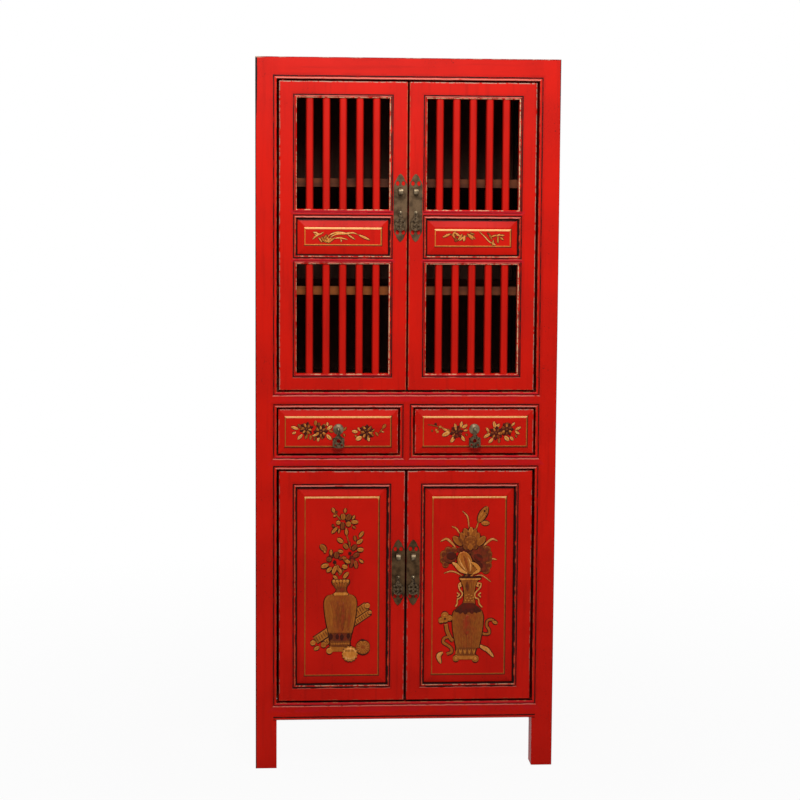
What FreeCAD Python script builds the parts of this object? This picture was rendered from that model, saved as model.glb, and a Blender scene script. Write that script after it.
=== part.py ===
import FreeCAD, Part
import math
import os
from collections import namedtuple
from types import SimpleNamespace

import Sketcher

os.makedirs("parts", exist_ok=True)
doc = FreeCAD.newDocument("slatted_cabinet")

# Driving dimensions of the cabinet, in millimetres
driving_sizes = {
    # carcass
    "overall_width": 800,
    "overall_depth": 560,
    "overall_height": 1890,
    "post_width": 56,
    "leg_height": 131,
    "bottom_rail_height": 48,
    "lower_opening_height": 630,
    "drawer_bottom_rail_height": 38,
    "drawer_opening_height": 127,
    "drawer_top_rail_height": 42,
    "top_rail_height": 57,
    "front_rail_depth": 42,
    "rear_rail_depth": 28,
    "side_rail_thickness": 30,
    "divider_width": 36,
    # moulding along the edges of every opening
    "bead_width": 8,
    "bead_radius": 3.5,
    "quirk_width": 2.4,
    "quirk_depth": 1.6,
    "lap_depth": 5,
    "eased_radius": 2,
    # carcass joinery
    "tenon_length": 26,
    "tenon_thickness": 12,
    "tenon_shoulder": 10,
    "tenon_inset": 12,
    "frame_groove_depth": 8,
    "panel_play": 1,
    # boards of the carcass
    "side_panel_setback": 10,
    "side_panel_thickness": 9,
    "back_panel_setback": 8,
    "back_panel_thickness": 8,
    "top_panel_setback": 1,
    "top_panel_thickness": 14,
    "top_batten_width": 30,
    "top_batten_height": 24,
    "top_batten_spread": 290,
    "floor_thickness": 14,
    "board_clearance": 0.6,
    "shelf_thickness": 22,
    "shelf_setback": 40,
    "cleat_width": 22,
    "cleat_height": 26,
    # doors
    "door_gap": 4,
    "meeting_gap": 3,
    "door_setback": 2,
    "door_stop_gap": 1,
    "door_thickness": 24,
    "door_frame_width": 48,
    "door_rail_height": 44,
    "door_corner_radius": 5,
    "door_middle_rail_height": 24,
    "small_panel_height": 96,
    "door_tenon_length": 20,
    "door_tenon_thickness": 7,
    "door_tenon_shoulder": 8,
    "middle_tenon_shoulder": 7,
    "hinge_edge_radius": 7,
    "hinge_back_radius": 11,
    "pivot_radius": 6,
    "pivot_inset": 12,
    "pivot_depth": 12,
    "pivot_clearance": 0.2,
    "pivot_end_clearance": 0.3,
    "top_pivot_length": 18,
    "bottom_pivot_length": 9,
    "pivot_lift": 8,
    # fielded panels
    "panel_setback": 9,
    "panel_tongue_thickness": 7,
    "panel_groove_depth": 7,
    "panel_edge_gap": 0.5,
    "bevel_width": 22,
    "bevel_rise": 5,
    # slats
    "slat_width": 20,
    "slat_depth": 14,
    "slat_setback": 4,
    "slat_round": 6,
    "slat_tenon_width": 12,
    "slat_tenon_thickness": 6,
    "slat_tenon_length": 6,
    # drawers
    "drawer_gap": 4,
    "drawer_setback": 2,
    "drawer_edge_thickness": 13,
    "drawer_side_inset": 15,
    "drawer_side_thickness": 11,
    "drawer_side_height": 112,
    "drawer_back_gap": 52,
    "drawer_bottom_thickness": 8,
    "drawer_bottom_rise": 8,
    "drawer_groove_depth": 5,
    "runner_width": 32,
    "runner_height": 20,
    "guide_height": 22,
    "guide_clearance": 1,
    "runner_clearance": 0.3,
    # brass fittings
    "plate_width": 35.5,
    "plate_height": 178,
    "plate_thickness": 1.6,
    "plate_edge_gap": 1,
    "staple_rise": 43,
    "staple_width": 11,
    "staple_height": 19,
    "staple_reach": 18,
    "staple_bore_radius": 4.5,
    "pull_eye_drop": 12,
    "ring_radius": 4.2,
    "ring_wire": 2.4,
    "collar_radius": 4.5,
    "collar_thickness": 1.2,
    "eye_neck": 1,
    "shank_radius": 1.9,
    "shank_length": 12,
    "shank_clearance": 0.1,
    "pull_width": 27,
    "pull_length": 48,
    "pull_thickness": 2,
    "pull_clearance": 0.5,
    "pull_web": 1.2,
    "rosette_radius": 14,
    "rosette_height": 6,
    "rosette_rim": 1.2,
    "rosette_dome_radius": 19,
    "rosette_rise": 6,
    "drawer_pull_width": 31,
    "drawer_pull_length": 49,
}

slat_count = 5

# Undersides of the shelves, as shares of the height of the upper opening
shelf_shares = {"lower": 0.3121, "upper": 0.6597}

# Middles of the lock plates, as shares of the height of their doors
plate_shares = {"upper": 0.5946, "lower": 0.5595}

sheet = doc.addObject("Spreadsheet::Sheet", "Sizes")
for row, (size_name, size_value) in enumerate(driving_sizes.items(), start=1):
    sheet.set(f"A{row}", size_name)
    sheet.set(f"B{row}", str(size_value))
    sheet.setAlias(f"B{row}", size_name)
doc.recompute()


class Size:
    """A length in millimetres together with the sheet formula that gives it."""

    def __init__(self, value, formula):
        self.value = value
        self.formula = formula

    def __add__(self, other):
        return Size(self.value + other.value, f"({self.formula} + {other.formula})")

    def __sub__(self, other):
        return Size(self.value - other.value, f"({self.formula} - {other.formula})")

    def __neg__(self):
        return Size(-self.value, f"(-{self.formula})")

    def __mul__(self, count):
        return Size(self.value * count, f"({self.formula} * {count})")

    def __truediv__(self, count):
        return Size(self.value / count, f"({self.formula} / {count})")


zero = Size(0, "0")
s = SimpleNamespace(**{name: Size(value, f"Sizes.{name}") for name, value in driving_sizes.items()})

# Outlines: a step is a corner (u, v), or the end of an arc (u, v, radius, side) that starts at the corner
# before it, with its centre to the left (side 1) or to the right (side -1) of the way it goes.
Disc = namedtuple("Disc", "u v radius")
Edge = namedtuple("Edge", "radius beaded slotted back_radius")
Slot = namedtuple("Slot", "near width depth")
Tenon = namedtuple("Tenon", "length thickness shoulder inset")


def rectangle(u0, v0, u1, v1):
    return [(u0, v0), (u1, v0), (u1, v1), (u0, v1)]


def swapped(loop):
    """The outline with its two directions exchanged."""
    if isinstance(loop, Disc):
        return Disc(loop.v, loop.u, loop.radius)
    return [(step[1], step[0]) + ((step[2], -step[3]) if len(step) > 2 else ()) for step in loop]


def mirrored(loop, width):
    """The outline seen in a mirror, inside the same width."""
    if isinstance(loop, Disc):
        return Disc(width - loop.u, loop.v, loop.radius)
    return [(width - step[0], step[1]) + ((step[2], -step[3]) if len(step) > 2 else ()) for step in loop]


def symmetric(half):
    """A closed outline from its right half, which runs between two corners on the middle line."""
    back = []
    for before, step in zip(half[-2::-1], half[:0:-1]):
        back.append((-before[0], before[1]) + tuple(step[2:]))
    return half[1:] + back


def hold(sketch, geometry, end, u, v):
    """Fixes one point of a sketch by its sheet-driven distances from the sketch's origin."""
    for kind, axis, size in (("DistanceX", -2, u), ("DistanceY", -1, v)):
        if size.formula == "0":
            sketch.addConstraint(Sketcher.Constraint("PointOnObject", geometry, end, axis))
        else:
            index = sketch.addConstraint(Sketcher.Constraint(kind, -1, 1, geometry, end, size.value))
            sketch.setExpression(f"Constraints[{index}]", size.formula)


def hold_radius(sketch, geometry, radius):
    index = sketch.addConstraint(Sketcher.Constraint("Radius", geometry, radius.value))
    sketch.setExpression(f"Constraints[{index}]", radius.formula)


def draw_arc(sketch, start, end, radius, side):
    """Adds the shorter arc between two points and gives the point numbers of its start and end."""
    chord = end - start
    middle = (start + end) / 2
    left = FreeCAD.Vector(-chord.y, chord.x, 0).normalize()
    centre = middle + left * (side * math.sqrt(radius ** 2 - (chord.Length / 2) ** 2))
    first_angle = math.atan2(start.y - centre.y, start.x - centre.x)
    last_angle = math.atan2(end.y - centre.y, end.x - centre.x)
    circle = Part.Circle(centre, FreeCAD.Vector(0, 0, 1), radius)
    if side > 0:
        return sketch.addGeometry(Part.ArcOfCircle(circle, first_angle, last_angle)), 1, 2
    return sketch.addGeometry(Part.ArcOfCircle(circle, last_angle, first_angle)), 2, 1


def draw(sketch, loop):
    """Draws one closed outline, or a disc, with every corner held."""
    if isinstance(loop, Disc):
        centre = FreeCAD.Vector(loop.u.value, loop.v.value, 0)
        geometry = sketch.addGeometry(Part.Circle(centre, FreeCAD.Vector(0, 0, 1), loop.radius.value))
        hold(sketch, geometry, 3, loop.u, loop.v)
        hold_radius(sketch, geometry, loop.radius)
        return
    edges = []
    for before, step in zip(loop[-1:] + loop[:-1], loop):
        start = FreeCAD.Vector(before[0].value, before[1].value, 0)
        end = FreeCAD.Vector(step[0].value, step[1].value, 0)
        if len(step) > 2:
            edges.append(draw_arc(sketch, start, end, step[2].value, step[3]))
        else:
            edges.append((sketch.addGeometry(Part.LineSegment(start, end)), 1, 2))
    for before, edge in zip(edges[-1:] + edges[:-1], edges):
        sketch.addConstraint(Sketcher.Constraint("Coincident", before[0], before[2], edge[0], edge[1]))
    for edge, step in zip(edges, loop):
        hold(sketch, edge[0], edge[2], step[0], step[1])
        if len(step) > 2:
            hold_radius(sketch, edge[0], step[2])


def new_body(label):
    body = doc.addObject("PartDesign::Body", label)
    body.Label = label
    return body


def new_sketch(body, plane, loops, lift):
    """A sketch on one of the body's own planes, moved along +X, +Y or +Z by the lift."""
    sketch = body.newObject("Sketcher::SketchObject", "Outline")
    support = [feature for feature in body.Origin.OriginFeatures if feature.Role == plane]
    sketch.AttachmentSupport = [(support[0], "")]
    sketch.MapMode = "FlatFace"
    if lift.formula != "0":
        offset = -lift if plane == "XZ_Plane" else lift
        sketch.setExpression("AttachmentOffset.Base.z", offset.formula)
    for loop in loops:
        draw(sketch, loop)
    return sketch


def extrude(body, kind, plane, loops, length, lift, reverse):
    """Pads or pockets a sketch and stops if that changed nothing."""
    doc.recompute()
    before = 0 if body.Shape.isNull() else body.Shape.Volume
    sketch = new_sketch(body, plane, loops, lift)
    feature = body.newObject(f"PartDesign::{kind}", kind)
    feature.Profile = sketch
    feature.setExpression("Length", length.formula)
    feature.Reversed = reverse
    doc.recompute()
    change = body.Shape.Volume - before
    if (change <= 0) if kind == "Pad" else (change >= 0):
        raise RuntimeError(f"{body.Label}: {kind} changed nothing")


def pad(body, plane, loops, length, lift=zero, back=False):
    """Adds material along +X, +Y or +Z from the plane, or the other way when back is set."""
    extrude(body, "Pad", plane, loops, length, lift, (plane == "XZ_Plane") != back)


def pocket(body, plane, loops, depth, lift=zero, back=False):
    """Cuts along +X, +Y or +Z from the plane, or the other way when back is set."""
    extrude(body, "Pocket", plane, loops, depth, lift, (plane != "XZ_Plane") != back)


def revolve(body, plane, loops, axis):
    sketch = new_sketch(body, plane, loops, zero)
    feature = body.newObject("PartDesign::Revolution", "Revolution")
    feature.Profile = sketch
    feature.ReferenceAxis = (sketch, [axis])
    feature.Angle = 360
    doc.recompute()


def loft(body, plane, base, base_lift, top, top_lift):
    """Adds the solid between two outlines that lie in parallel planes."""
    lower = new_sketch(body, plane, [base], base_lift)
    upper = new_sketch(body, plane, [top], top_lift)
    feature = body.newObject("PartDesign::AdditiveLoft", "Loft")
    feature.Profile = lower
    feature.Sections = [upper]
    feature.Ruled = True
    doc.recompute()


def place(part, x, y, z):
    for axis, size in (("x", x), ("y", y), ("z", z)):
        part.setExpression(f"Placement.Base.{axis}", size.formula)
    return part


def turn_about_z(part, degrees):
    part.Placement = FreeCAD.Placement(FreeCAD.Vector(), FreeCAD.Rotation(FreeCAD.Vector(0, 0, 1), degrees))
    return part


def group(label, pieces):
    compound = doc.addObject("Part::Compound", label)
    compound.Label = label
    compound.Links = pieces
    return compound


def mirror(label, source):
    """The same piece on the other side of the cabinet's middle plane."""
    copy = doc.addObject("Part::Mirroring", label)
    copy.Label = label
    copy.Source = source
    copy.Base = FreeCAD.Vector(0, 0, 0)
    copy.Normal = FreeCAD.Vector(1, 0, 0)
    return copy


nodes = []


def keep(part):
    """Lists a finished piece as a node of the cabinet."""
    nodes.append(part)
    return part


def keep_pair(part):
    """Keeps a left-hand piece and its right-hand twin."""
    keep(part)
    keep(mirror(part.Label.replace("left", "right"), part))


# Places worked out from the driving dimensions, in the cabinet's own frame
lap = s.bead_width + s.quirk_width / 2
fittings_reach = s.plate_thickness + s.staple_reach - s.door_setback
left_side = -s.overall_width / 2
front_face = (fittings_reach - s.overall_depth) / 2
rear_face = front_face + s.overall_depth
opening_width = s.overall_width - s.post_width * 2
inner_left = left_side + s.post_width
side_span = s.overall_depth - s.post_width * 2
post_back = front_face + s.post_width
rear_post_front = rear_face - s.post_width

bottom_rail_low = s.leg_height
lower_opening_low = bottom_rail_low + s.bottom_rail_height
drawer_bottom_rail_low = lower_opening_low + s.lower_opening_height
drawer_opening_low = drawer_bottom_rail_low + s.drawer_bottom_rail_height
drawer_top_rail_low = drawer_opening_low + s.drawer_opening_height
upper_opening_low = drawer_top_rail_low + s.drawer_top_rail_height
top_rail_low = s.overall_height - s.top_rail_height
upper_opening_height = top_rail_low - upper_opening_low

door_width = opening_width / 2 - s.door_gap - s.meeting_gap / 2
upper_door_height = upper_opening_height - s.door_gap * 2
lower_door_height = s.lower_opening_height - s.door_gap * 2
door_left = inner_left + s.door_gap
door_face = front_face + s.door_setback
upper_door_low = upper_opening_low + s.door_gap
lower_door_low = lower_opening_low + s.door_gap
field_width = door_width - s.door_frame_width * 2
plate_middle = -(s.meeting_gap / 2 + s.plate_edge_gap + s.plate_width / 2)
upper_plate_height = upper_door_height * plate_shares["upper"]
lower_plate_height = lower_door_height * plate_shares["lower"]

plain = Edge(s.eased_radius, False, False, zero)
plain_slotted = plain._replace(slotted=True)
beaded = Edge(s.bead_radius, True, False, zero)
beaded_slotted = beaded._replace(slotted=True)
hinge_edge = Edge(s.hinge_edge_radius, False, False, s.hinge_back_radius)

no_slot = Slot(zero, zero, zero)
side_slot = Slot(s.side_panel_setback, s.side_panel_thickness, s.frame_groove_depth)
back_slot = Slot(s.back_panel_setback, s.back_panel_thickness, s.frame_groove_depth)
door_slot = Slot(s.panel_setback, s.panel_tongue_thickness, s.panel_groove_depth)

frame_tenon = Tenon(s.tenon_length, s.tenon_thickness, s.tenon_shoulder, s.tenon_inset)
door_tenon = Tenon(s.door_tenon_length, s.door_tenon_thickness, s.door_tenon_shoulder, s.panel_setback)
middle_tenon = door_tenon._replace(shoulder=s.middle_tenon_shoulder)


def moulded_section(width, depth, low, high, slot):
    """Section of a frame member: across its face, then back from it. A beaded edge is rounded and has a
    quirk beside it, a plain one is eased, and a slotted one has the groove that holds a panel."""
    far = slot.near + slot.width
    half_quirk = s.quirk_width / 2
    steps = []
    if low.back_radius.formula == "0":
        steps.append((zero, depth))
    else:
        steps.append((zero, depth - low.back_radius))
        steps.append((low.back_radius, depth, low.back_radius, -1))
    steps.append((width, depth))
    if high.slotted:
        steps += [(width, far), (width - slot.depth, far)]
        steps += [(width - slot.depth, slot.near), (width, slot.near)]
    steps.append((width, high.radius))
    steps.append((width - high.radius, zero, high.radius, -1))
    for edge, quirk in ((high, width - s.bead_width), (low, s.bead_width)):
        if edge.beaded:
            steps += [(quirk + half_quirk, zero), (quirk + half_quirk, s.quirk_depth)]
            steps += [(quirk - half_quirk, s.quirk_depth), (quirk - half_quirk, zero)]
    steps.append((low.radius, zero))
    steps.append((zero, low.radius, low.radius, -1))
    if low.slotted:
        steps += [(zero, slot.near), (slot.depth, slot.near), (slot.depth, far), (zero, far)]
    return steps


def lap_outline(edge, low, high, low_beaded=True, high_beaded=True):
    """Where the end of a rail laps over an upright's bead: it is mitred where the rail's own bead turns."""
    steps = [(edge, low), (edge, high)]
    steps += [(edge - lap, high - lap)] if high_beaded else [(edge - lap, high)]
    steps += [(edge - lap, low + lap)] if low_beaded else [(edge - lap, low)]
    return steps


def lapped_member(label, upright, span, width, depth, low, high, slot, tenon, low_mitred=True):
    """A member between two others, beaded like them: its ends lap over their beads and it is tenoned in.
    Its own beads are mitred where they turn, but a low one may run straight to the end of the lap. It
    starts at the tip of its first tenon and runs along +X, or along +Z if it is upright."""
    body = new_body(label)
    start = tenon.length - lap
    end = tenon.length + span
    whole = end + tenon.length
    section = moulded_section(width, depth, low, high, slot)
    along = swapped if upright else list
    if upright:
        pad(body, "XY_Plane", [section], span + lap * 2, lift=start)
    else:
        pad(body, "YZ_Plane", [swapped(section)], span + lap * 2, lift=start)
    shoulders = [rectangle(start, zero, tenon.length, width), rectangle(end, zero, end + lap, width)]
    pocket(body, "XZ_Plane", [along(loop) for loop in shoulders], depth - s.lap_depth, lift=s.lap_depth)
    corners = []
    if low.beaded and low_mitred:
        corners.append([(start, zero), (tenon.length, zero), (start, lap)])
        corners.append([(end + lap, zero), (end + lap, lap), (end, zero)])
    if high.beaded:
        corners.append([(start, width), (start, width - lap), (tenon.length, width)])
        corners.append([(end + lap, width), (end, width), (end + lap, width - lap)])
    pocket(body, "XZ_Plane", [along(loop) for loop in corners], s.lap_depth)
    bar = rectangle(zero, tenon.shoulder, whole, width - tenon.shoulder)
    pad(body, "XZ_Plane", [along(bar)], tenon.thickness, lift=tenon.inset)
    return body


def plain_rail(label, plane, span, height, depth, low, high, slot):
    """A rail with eased edges and a tenon at each end, set square between two posts."""
    body = new_body(label)
    section = swapped(moulded_section(height, depth, low, high, slot))
    pad(body, plane, [section], span, lift=frame_tenon.length)
    tenon_section = rectangle(
        frame_tenon.inset,
        frame_tenon.shoulder,
        frame_tenon.inset + frame_tenon.thickness,
        height - frame_tenon.shoulder,
    )
    pad(body, plane, [tenon_section], span + frame_tenon.length * 2)
    return body


# Heights of the rails between the posts: where each starts and how high it is
front_rails = [
    ("bottom_front_rail", bottom_rail_low, s.bottom_rail_height),
    ("drawer_bottom_rail", drawer_bottom_rail_low, s.drawer_bottom_rail_height),
    ("drawer_top_rail", drawer_top_rail_low, s.drawer_top_rail_height),
    ("top_front_rail", top_rail_low, s.top_rail_height),
]
side_rails = [front_rails[0], front_rails[2], front_rails[3]]


def spans_between(rails):
    """The open stretches from the top of each rail to the underside of the next."""
    return [(low + height, above) for (_, low, height), (_, above, _) in zip(rails, rails[1:])]


side_spans = spans_between(side_rails)
back_spans = spans_between(front_rails)


def post(label, front):
    """A corner post, from the floor to the top, seen from its own outer corner. A front post has the bead,
    from the bottom rail upwards, and the laps of the front rails. A rear one has the back panels' grooves."""
    body = new_body(label)
    width = s.post_width
    leg = moulded_section(width, width, plain, plain, no_slot)
    if front:
        section = moulded_section(width, width, plain, beaded, no_slot)
        pad(body, "XY_Plane", [leg], s.leg_height)
        pad(body, "XY_Plane", [section], s.overall_height - s.leg_height, lift=s.leg_height)
        _, low, height = front_rails[0]
        laps = [lap_outline(width, low, low + height, low_beaded=False)]
        laps += [lap_outline(width, low, low + height) for _, low, height in front_rails[1:-1]]
        laps.append(lap_outline(width, top_rail_low, s.overall_height, high_beaded=False))
        pocket(body, "XZ_Plane", laps, s.lap_depth)
    else:
        pad(body, "XY_Plane", [leg], s.overall_height)
    near = frame_tenon.inset
    far = frame_tenon.inset + frame_tenon.thickness
    mortises = []
    for _, low, height in front_rails:
        mortises.append(rectangle(near, low + frame_tenon.shoulder, far, low + height - frame_tenon.shoulder))
    pocket(body, "YZ_Plane", mortises, frame_tenon.length, lift=width, back=True)
    mortises = []
    for _, low, height in side_rails:
        mortises.append(rectangle(near, low + frame_tenon.shoulder, far, low + height - frame_tenon.shoulder))
    pocket(body, "XZ_Plane", mortises, frame_tenon.length, lift=width, back=True)
    depth = s.frame_groove_depth
    near, far = side_slot.near, side_slot.near + side_slot.width
    grooves = [rectangle(near, low - depth, far, high + depth) for low, high in side_spans]
    pocket(body, "XZ_Plane", grooves, depth, lift=width, back=True)
    if not front:
        near, far = back_slot.near, back_slot.near + back_slot.width
        grooves = [rectangle(near, low - depth, far, high + depth) for low, high in back_spans]
        pocket(body, "YZ_Plane", grooves, depth, lift=width, back=True)
    return body


def make_posts():
    front_post = place(post("front_left_post", True), left_side, front_face, zero)
    keep_pair(front_post)
    rear_post = turn_about_z(post("rear_right_post", False), 180)
    keep(place(rear_post, -left_side, rear_face, zero))
    keep(mirror("rear_left_post", rear_post))


def pivot_sockets(rail, height, doors_above, doors_below):
    """Round holes for the door pivots: shallow ones that carry the doors above, and deep ones that let the
    doors below be lifted out."""
    across = s.door_gap + s.pivot_inset
    radius = s.pivot_radius + s.pivot_clearance
    depth_line = s.door_setback + s.pivot_depth
    whole = opening_width + frame_tenon.length * 2
    discs = [Disc(frame_tenon.length + across, depth_line, radius)]
    discs.append(mirrored(discs[0], whole))
    if doors_above:
        seat = s.bottom_pivot_length - s.door_gap + s.pivot_end_clearance
        pocket(rail, "XY_Plane", discs, seat, lift=height, back=True)
    if doors_below:
        pocket(rail, "XY_Plane", discs, s.top_pivot_length - s.door_gap + s.pivot_lift)


def seat_divider(rail, height, divider_above):
    """The lap and the mortise for the drawer divider, in the top or the bottom of a rail."""
    middle = frame_tenon.length + opening_width / 2
    low, high = middle - s.divider_width / 2, middle + s.divider_width / 2
    notch = swapped(lap_outline(height, low, high))
    if not divider_above:
        notch = [(u, height - v) for u, v in notch]
    pocket(rail, "XZ_Plane", [notch], s.lap_depth)
    mortise = rectangle(
        low + frame_tenon.shoulder,
        frame_tenon.inset,
        high - frame_tenon.shoulder,
        frame_tenon.inset + frame_tenon.thickness,
    )
    stub = s.drawer_groove_depth + s.frame_groove_depth
    if divider_above:
        pocket(rail, "XY_Plane", [mortise], stub, lift=height, back=True)
    else:
        pocket(rail, "XY_Plane", [mortise], stub)
    return stub


def make_front_rails():
    stub = zero
    for label, low, height in front_rails:
        top = label == "top_front_rail"
        depth = s.post_width if top else s.front_rail_depth
        high = plain if top else beaded
        rail = lapped_member(
            label, False, opening_width, height, depth, beaded, high, no_slot, frame_tenon,
            low_mitred=label != "bottom_front_rail",
        )
        pivot_sockets(
            rail,
            height,
            doors_above=label in ("drawer_top_rail", "bottom_front_rail"),
            doors_below=label in ("top_front_rail", "drawer_bottom_rail"),
        )
        if label == "drawer_top_rail":
            stub = seat_divider(rail, height, divider_above=False)
        if label == "drawer_bottom_rail":
            stub = seat_divider(rail, height, divider_above=True)
        keep(place(rail, inner_left - frame_tenon.length, front_face, low))
    tenon = frame_tenon._replace(length=stub)
    divider = lapped_member(
        "drawer_divider", True, s.drawer_opening_height, s.divider_width, s.front_rail_depth,
        beaded, beaded, no_slot, tenon,
    )
    keep(place(divider, -s.divider_width / 2, front_face, drawer_opening_low - stub))


def make_side_frames():
    rails = []
    for index, (label, low, height) in enumerate(side_rails):
        top = label == "top_front_rail"
        thickness = s.post_width if top else s.side_rail_thickness
        rail = plain_rail(
            f"left_side_rail_{index + 1}", "XZ_Plane", side_span, height, thickness,
            plain if index == 0 else plain_slotted, plain if top else plain_slotted, side_slot,
        )
        rails.append(place(rail, left_side, post_back - frame_tenon.length, low))
    keep_pair(group("left_side_rails", rails))
    panels = []
    edge = s.frame_groove_depth - s.panel_play
    for index, (low, high) in enumerate(side_spans):
        panel = new_body(f"left_side_panel_{index + 1}")
        outline = rectangle(zero, zero, side_span + edge * 2, high - low + edge * 2)
        pad(panel, "YZ_Plane", [outline], s.side_panel_thickness)
        panels.append(place(panel, left_side + s.side_panel_setback, post_back - edge, low - edge))
    keep_pair(group("left_side_panels", panels))


def make_back():
    rails = []
    for index, (label, low, height) in enumerate(front_rails):
        top = label == "top_front_rail"
        depth = s.post_width if top else s.rear_rail_depth
        rail = plain_rail(
            f"rear_rail_{index + 1}", "YZ_Plane", opening_width, height, depth,
            plain if index == 0 else plain_slotted, plain if top else plain_slotted, back_slot,
        )
        turn_about_z(rail, 180)
        rails.append(place(rail, -inner_left + frame_tenon.length, rear_face, low))
    keep(group("rear_rails", rails))
    panels = []
    edge = s.frame_groove_depth - s.panel_play
    for index, (low, high) in enumerate(back_spans):
        panel = new_body(f"back_panel_{index + 1}")
        outline = rectangle(zero, zero, opening_width + edge * 2, high - low + edge * 2)
        pad(panel, "XZ_Plane", [outline], s.back_panel_thickness)
        front = rear_face - s.back_panel_setback - s.back_panel_thickness
        panels.append(place(panel, inner_left - edge, front, low - edge))
    keep(group("back_panels", panels))


def make_top():
    panel_low = s.overall_height - s.top_panel_setback - s.top_panel_thickness
    width = opening_width - s.board_clearance * 2
    depth = side_span - s.board_clearance * 2
    panel = new_body("top_panel")
    pad(panel, "XY_Plane", [rectangle(zero, zero, width, depth)], s.top_panel_thickness)
    keep(place(panel, inner_left + s.board_clearance, post_back + s.board_clearance, panel_low))
    battens = new_body("top_battens")
    start = s.top_batten_spread / 2
    loops = []
    for left in (-start - s.top_batten_width, start):
        loops.append(rectangle(left, zero, left + s.top_batten_width, side_span))
    pad(battens, "XY_Plane", loops, s.top_batten_height)
    keep(place(battens, zero, post_back, panel_low - s.top_batten_height))


def notched_board(label, front, low, thickness):
    """A board that fills the carcass, cut out round the four posts."""
    body = new_body(label)
    gap = s.board_clearance
    narrow = opening_width / 2 - gap
    wide = s.overall_width / 2 - s.side_panel_setback - s.side_panel_thickness - gap
    back = rear_face - s.back_panel_setback - s.back_panel_thickness - gap - front
    near = post_back + gap - front
    far = rear_post_front - gap - front
    half = [(zero, zero), (narrow, zero), (narrow, near), (wide, near), (wide, far), (narrow, far)]
    outline = symmetric(half + [(narrow, back), (zero, back)])
    pad(body, "XY_Plane", [outline], thickness)
    return place(body, zero, front, low)


def make_boards():
    floor_front = door_face + s.door_thickness + s.door_stop_gap
    keep(notched_board("cupboard_floor", floor_front, upper_opening_low, s.floor_thickness))
    keep(notched_board("base_board", floor_front, lower_opening_low, s.floor_thickness))
    shelves = []
    cleats = []
    for name, share in shelf_shares.items():
        low = upper_opening_low + upper_opening_height * share
        shelves.append(notched_board(f"{name}_shelf", front_face + s.shelf_setback, low, s.shelf_thickness))
        cleat = new_body(f"{name}_left_cleat")
        pad(cleat, "XZ_Plane", [rectangle(zero, zero, s.cleat_width, s.cleat_height)], side_span)
        wall = left_side + s.side_panel_setback + s.side_panel_thickness
        place(cleat, wall, post_back, low - s.cleat_height)
        cleats += [cleat, mirror(f"{name}_right_cleat", cleat)]
    keep(group("shelves", shelves))
    keep(group("shelf_cleats", cleats))


def make_runners():
    """Two runners under each drawer, with a raised guide along the drawer's side."""
    guide = s.drawer_side_inset - s.guide_clearance
    section = [
        (zero, -s.runner_height),
        (s.runner_width, -s.runner_height),
        (s.runner_width, zero),
        (guide, zero),
        (guide, s.guide_height),
        (zero, s.guide_height),
    ]
    length = s.overall_depth - s.front_rail_depth - s.rear_rail_depth
    runners = []
    for name, left, outline in (
        ("outer", inner_left, section),
        ("inner", -s.divider_width / 2 - s.runner_width, mirrored(section, s.runner_width)),
    ):
        runner = new_body(f"left_{name}_runner")
        pad(runner, "XZ_Plane", [outline], length)
        place(runner, left, front_face + s.front_rail_depth, drawer_opening_low)
        runners += [runner, mirror(f"right_{name}_runner", runner)]
    keep(group("drawer_runners", runners))


def stile(label, height, hinge, middle_rails, panel_span):
    """An upright of a door frame: its face is mitred at both ends, the wood behind runs on. The hinge stile
    carries the round pivots that the door turns on."""
    body = new_body(label)
    width, rail, corner = s.door_frame_width, s.door_rail_height, s.door_corner_radius

    def handed(loops):
        return loops if hinge else [mirrored(loop, width) for loop in loops]

    outer = hinge_edge if hinge else plain
    section = moulded_section(width, s.door_thickness, outer, beaded, no_slot)
    pad(body, "XY_Plane", handed([section]), height)
    mitres = [
        [(zero, zero), (width, zero), (width, rail)],
        [(zero, height), (width, height - rail), (width, height)],
    ]
    pocket(body, "XZ_Plane", handed(mitres), s.lap_depth)
    corners = [
        [(zero, zero), (corner, zero), (zero, corner, corner, -1)],
        [(zero, height), (zero, height - corner), (corner, height, corner, -1)],
    ]
    pocket(body, "XZ_Plane", handed(corners), s.door_thickness)
    inner = width if hinge else zero
    near, far = door_tenon.inset, door_tenon.inset + door_tenon.thickness
    mortises = []
    for low in (zero, height - rail):
        mortises.append(rectangle(near, low + door_tenon.shoulder, far, low + rail - door_tenon.shoulder))
    if middle_rails:
        rail_height = s.door_middle_rail_height
        laps = [lap_outline(width, low, low + rail_height) for low in middle_rails]
        pocket(body, "XZ_Plane", handed(laps), s.lap_depth)
        for low in middle_rails:
            bottom = low + middle_tenon.shoulder
            mortises.append(rectangle(near, bottom, far, low + rail_height - middle_tenon.shoulder))
    pocket(body, "YZ_Plane", mortises, door_tenon.length, lift=inner, back=hinge)
    groove = rectangle(
        door_slot.near,
        panel_span[0] - door_slot.depth,
        door_slot.near + door_slot.width,
        panel_span[1] + door_slot.depth,
    )
    pocket(body, "YZ_Plane", [groove], door_slot.depth, lift=inner, back=hinge)
    if hinge:
        pivot = Disc(s.pivot_inset, s.pivot_depth, s.pivot_radius)
        pad(body, "XY_Plane", [pivot], s.top_pivot_length, lift=height)
        pad(body, "XY_Plane", [pivot], s.bottom_pivot_length, back=True)
    return body


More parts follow.
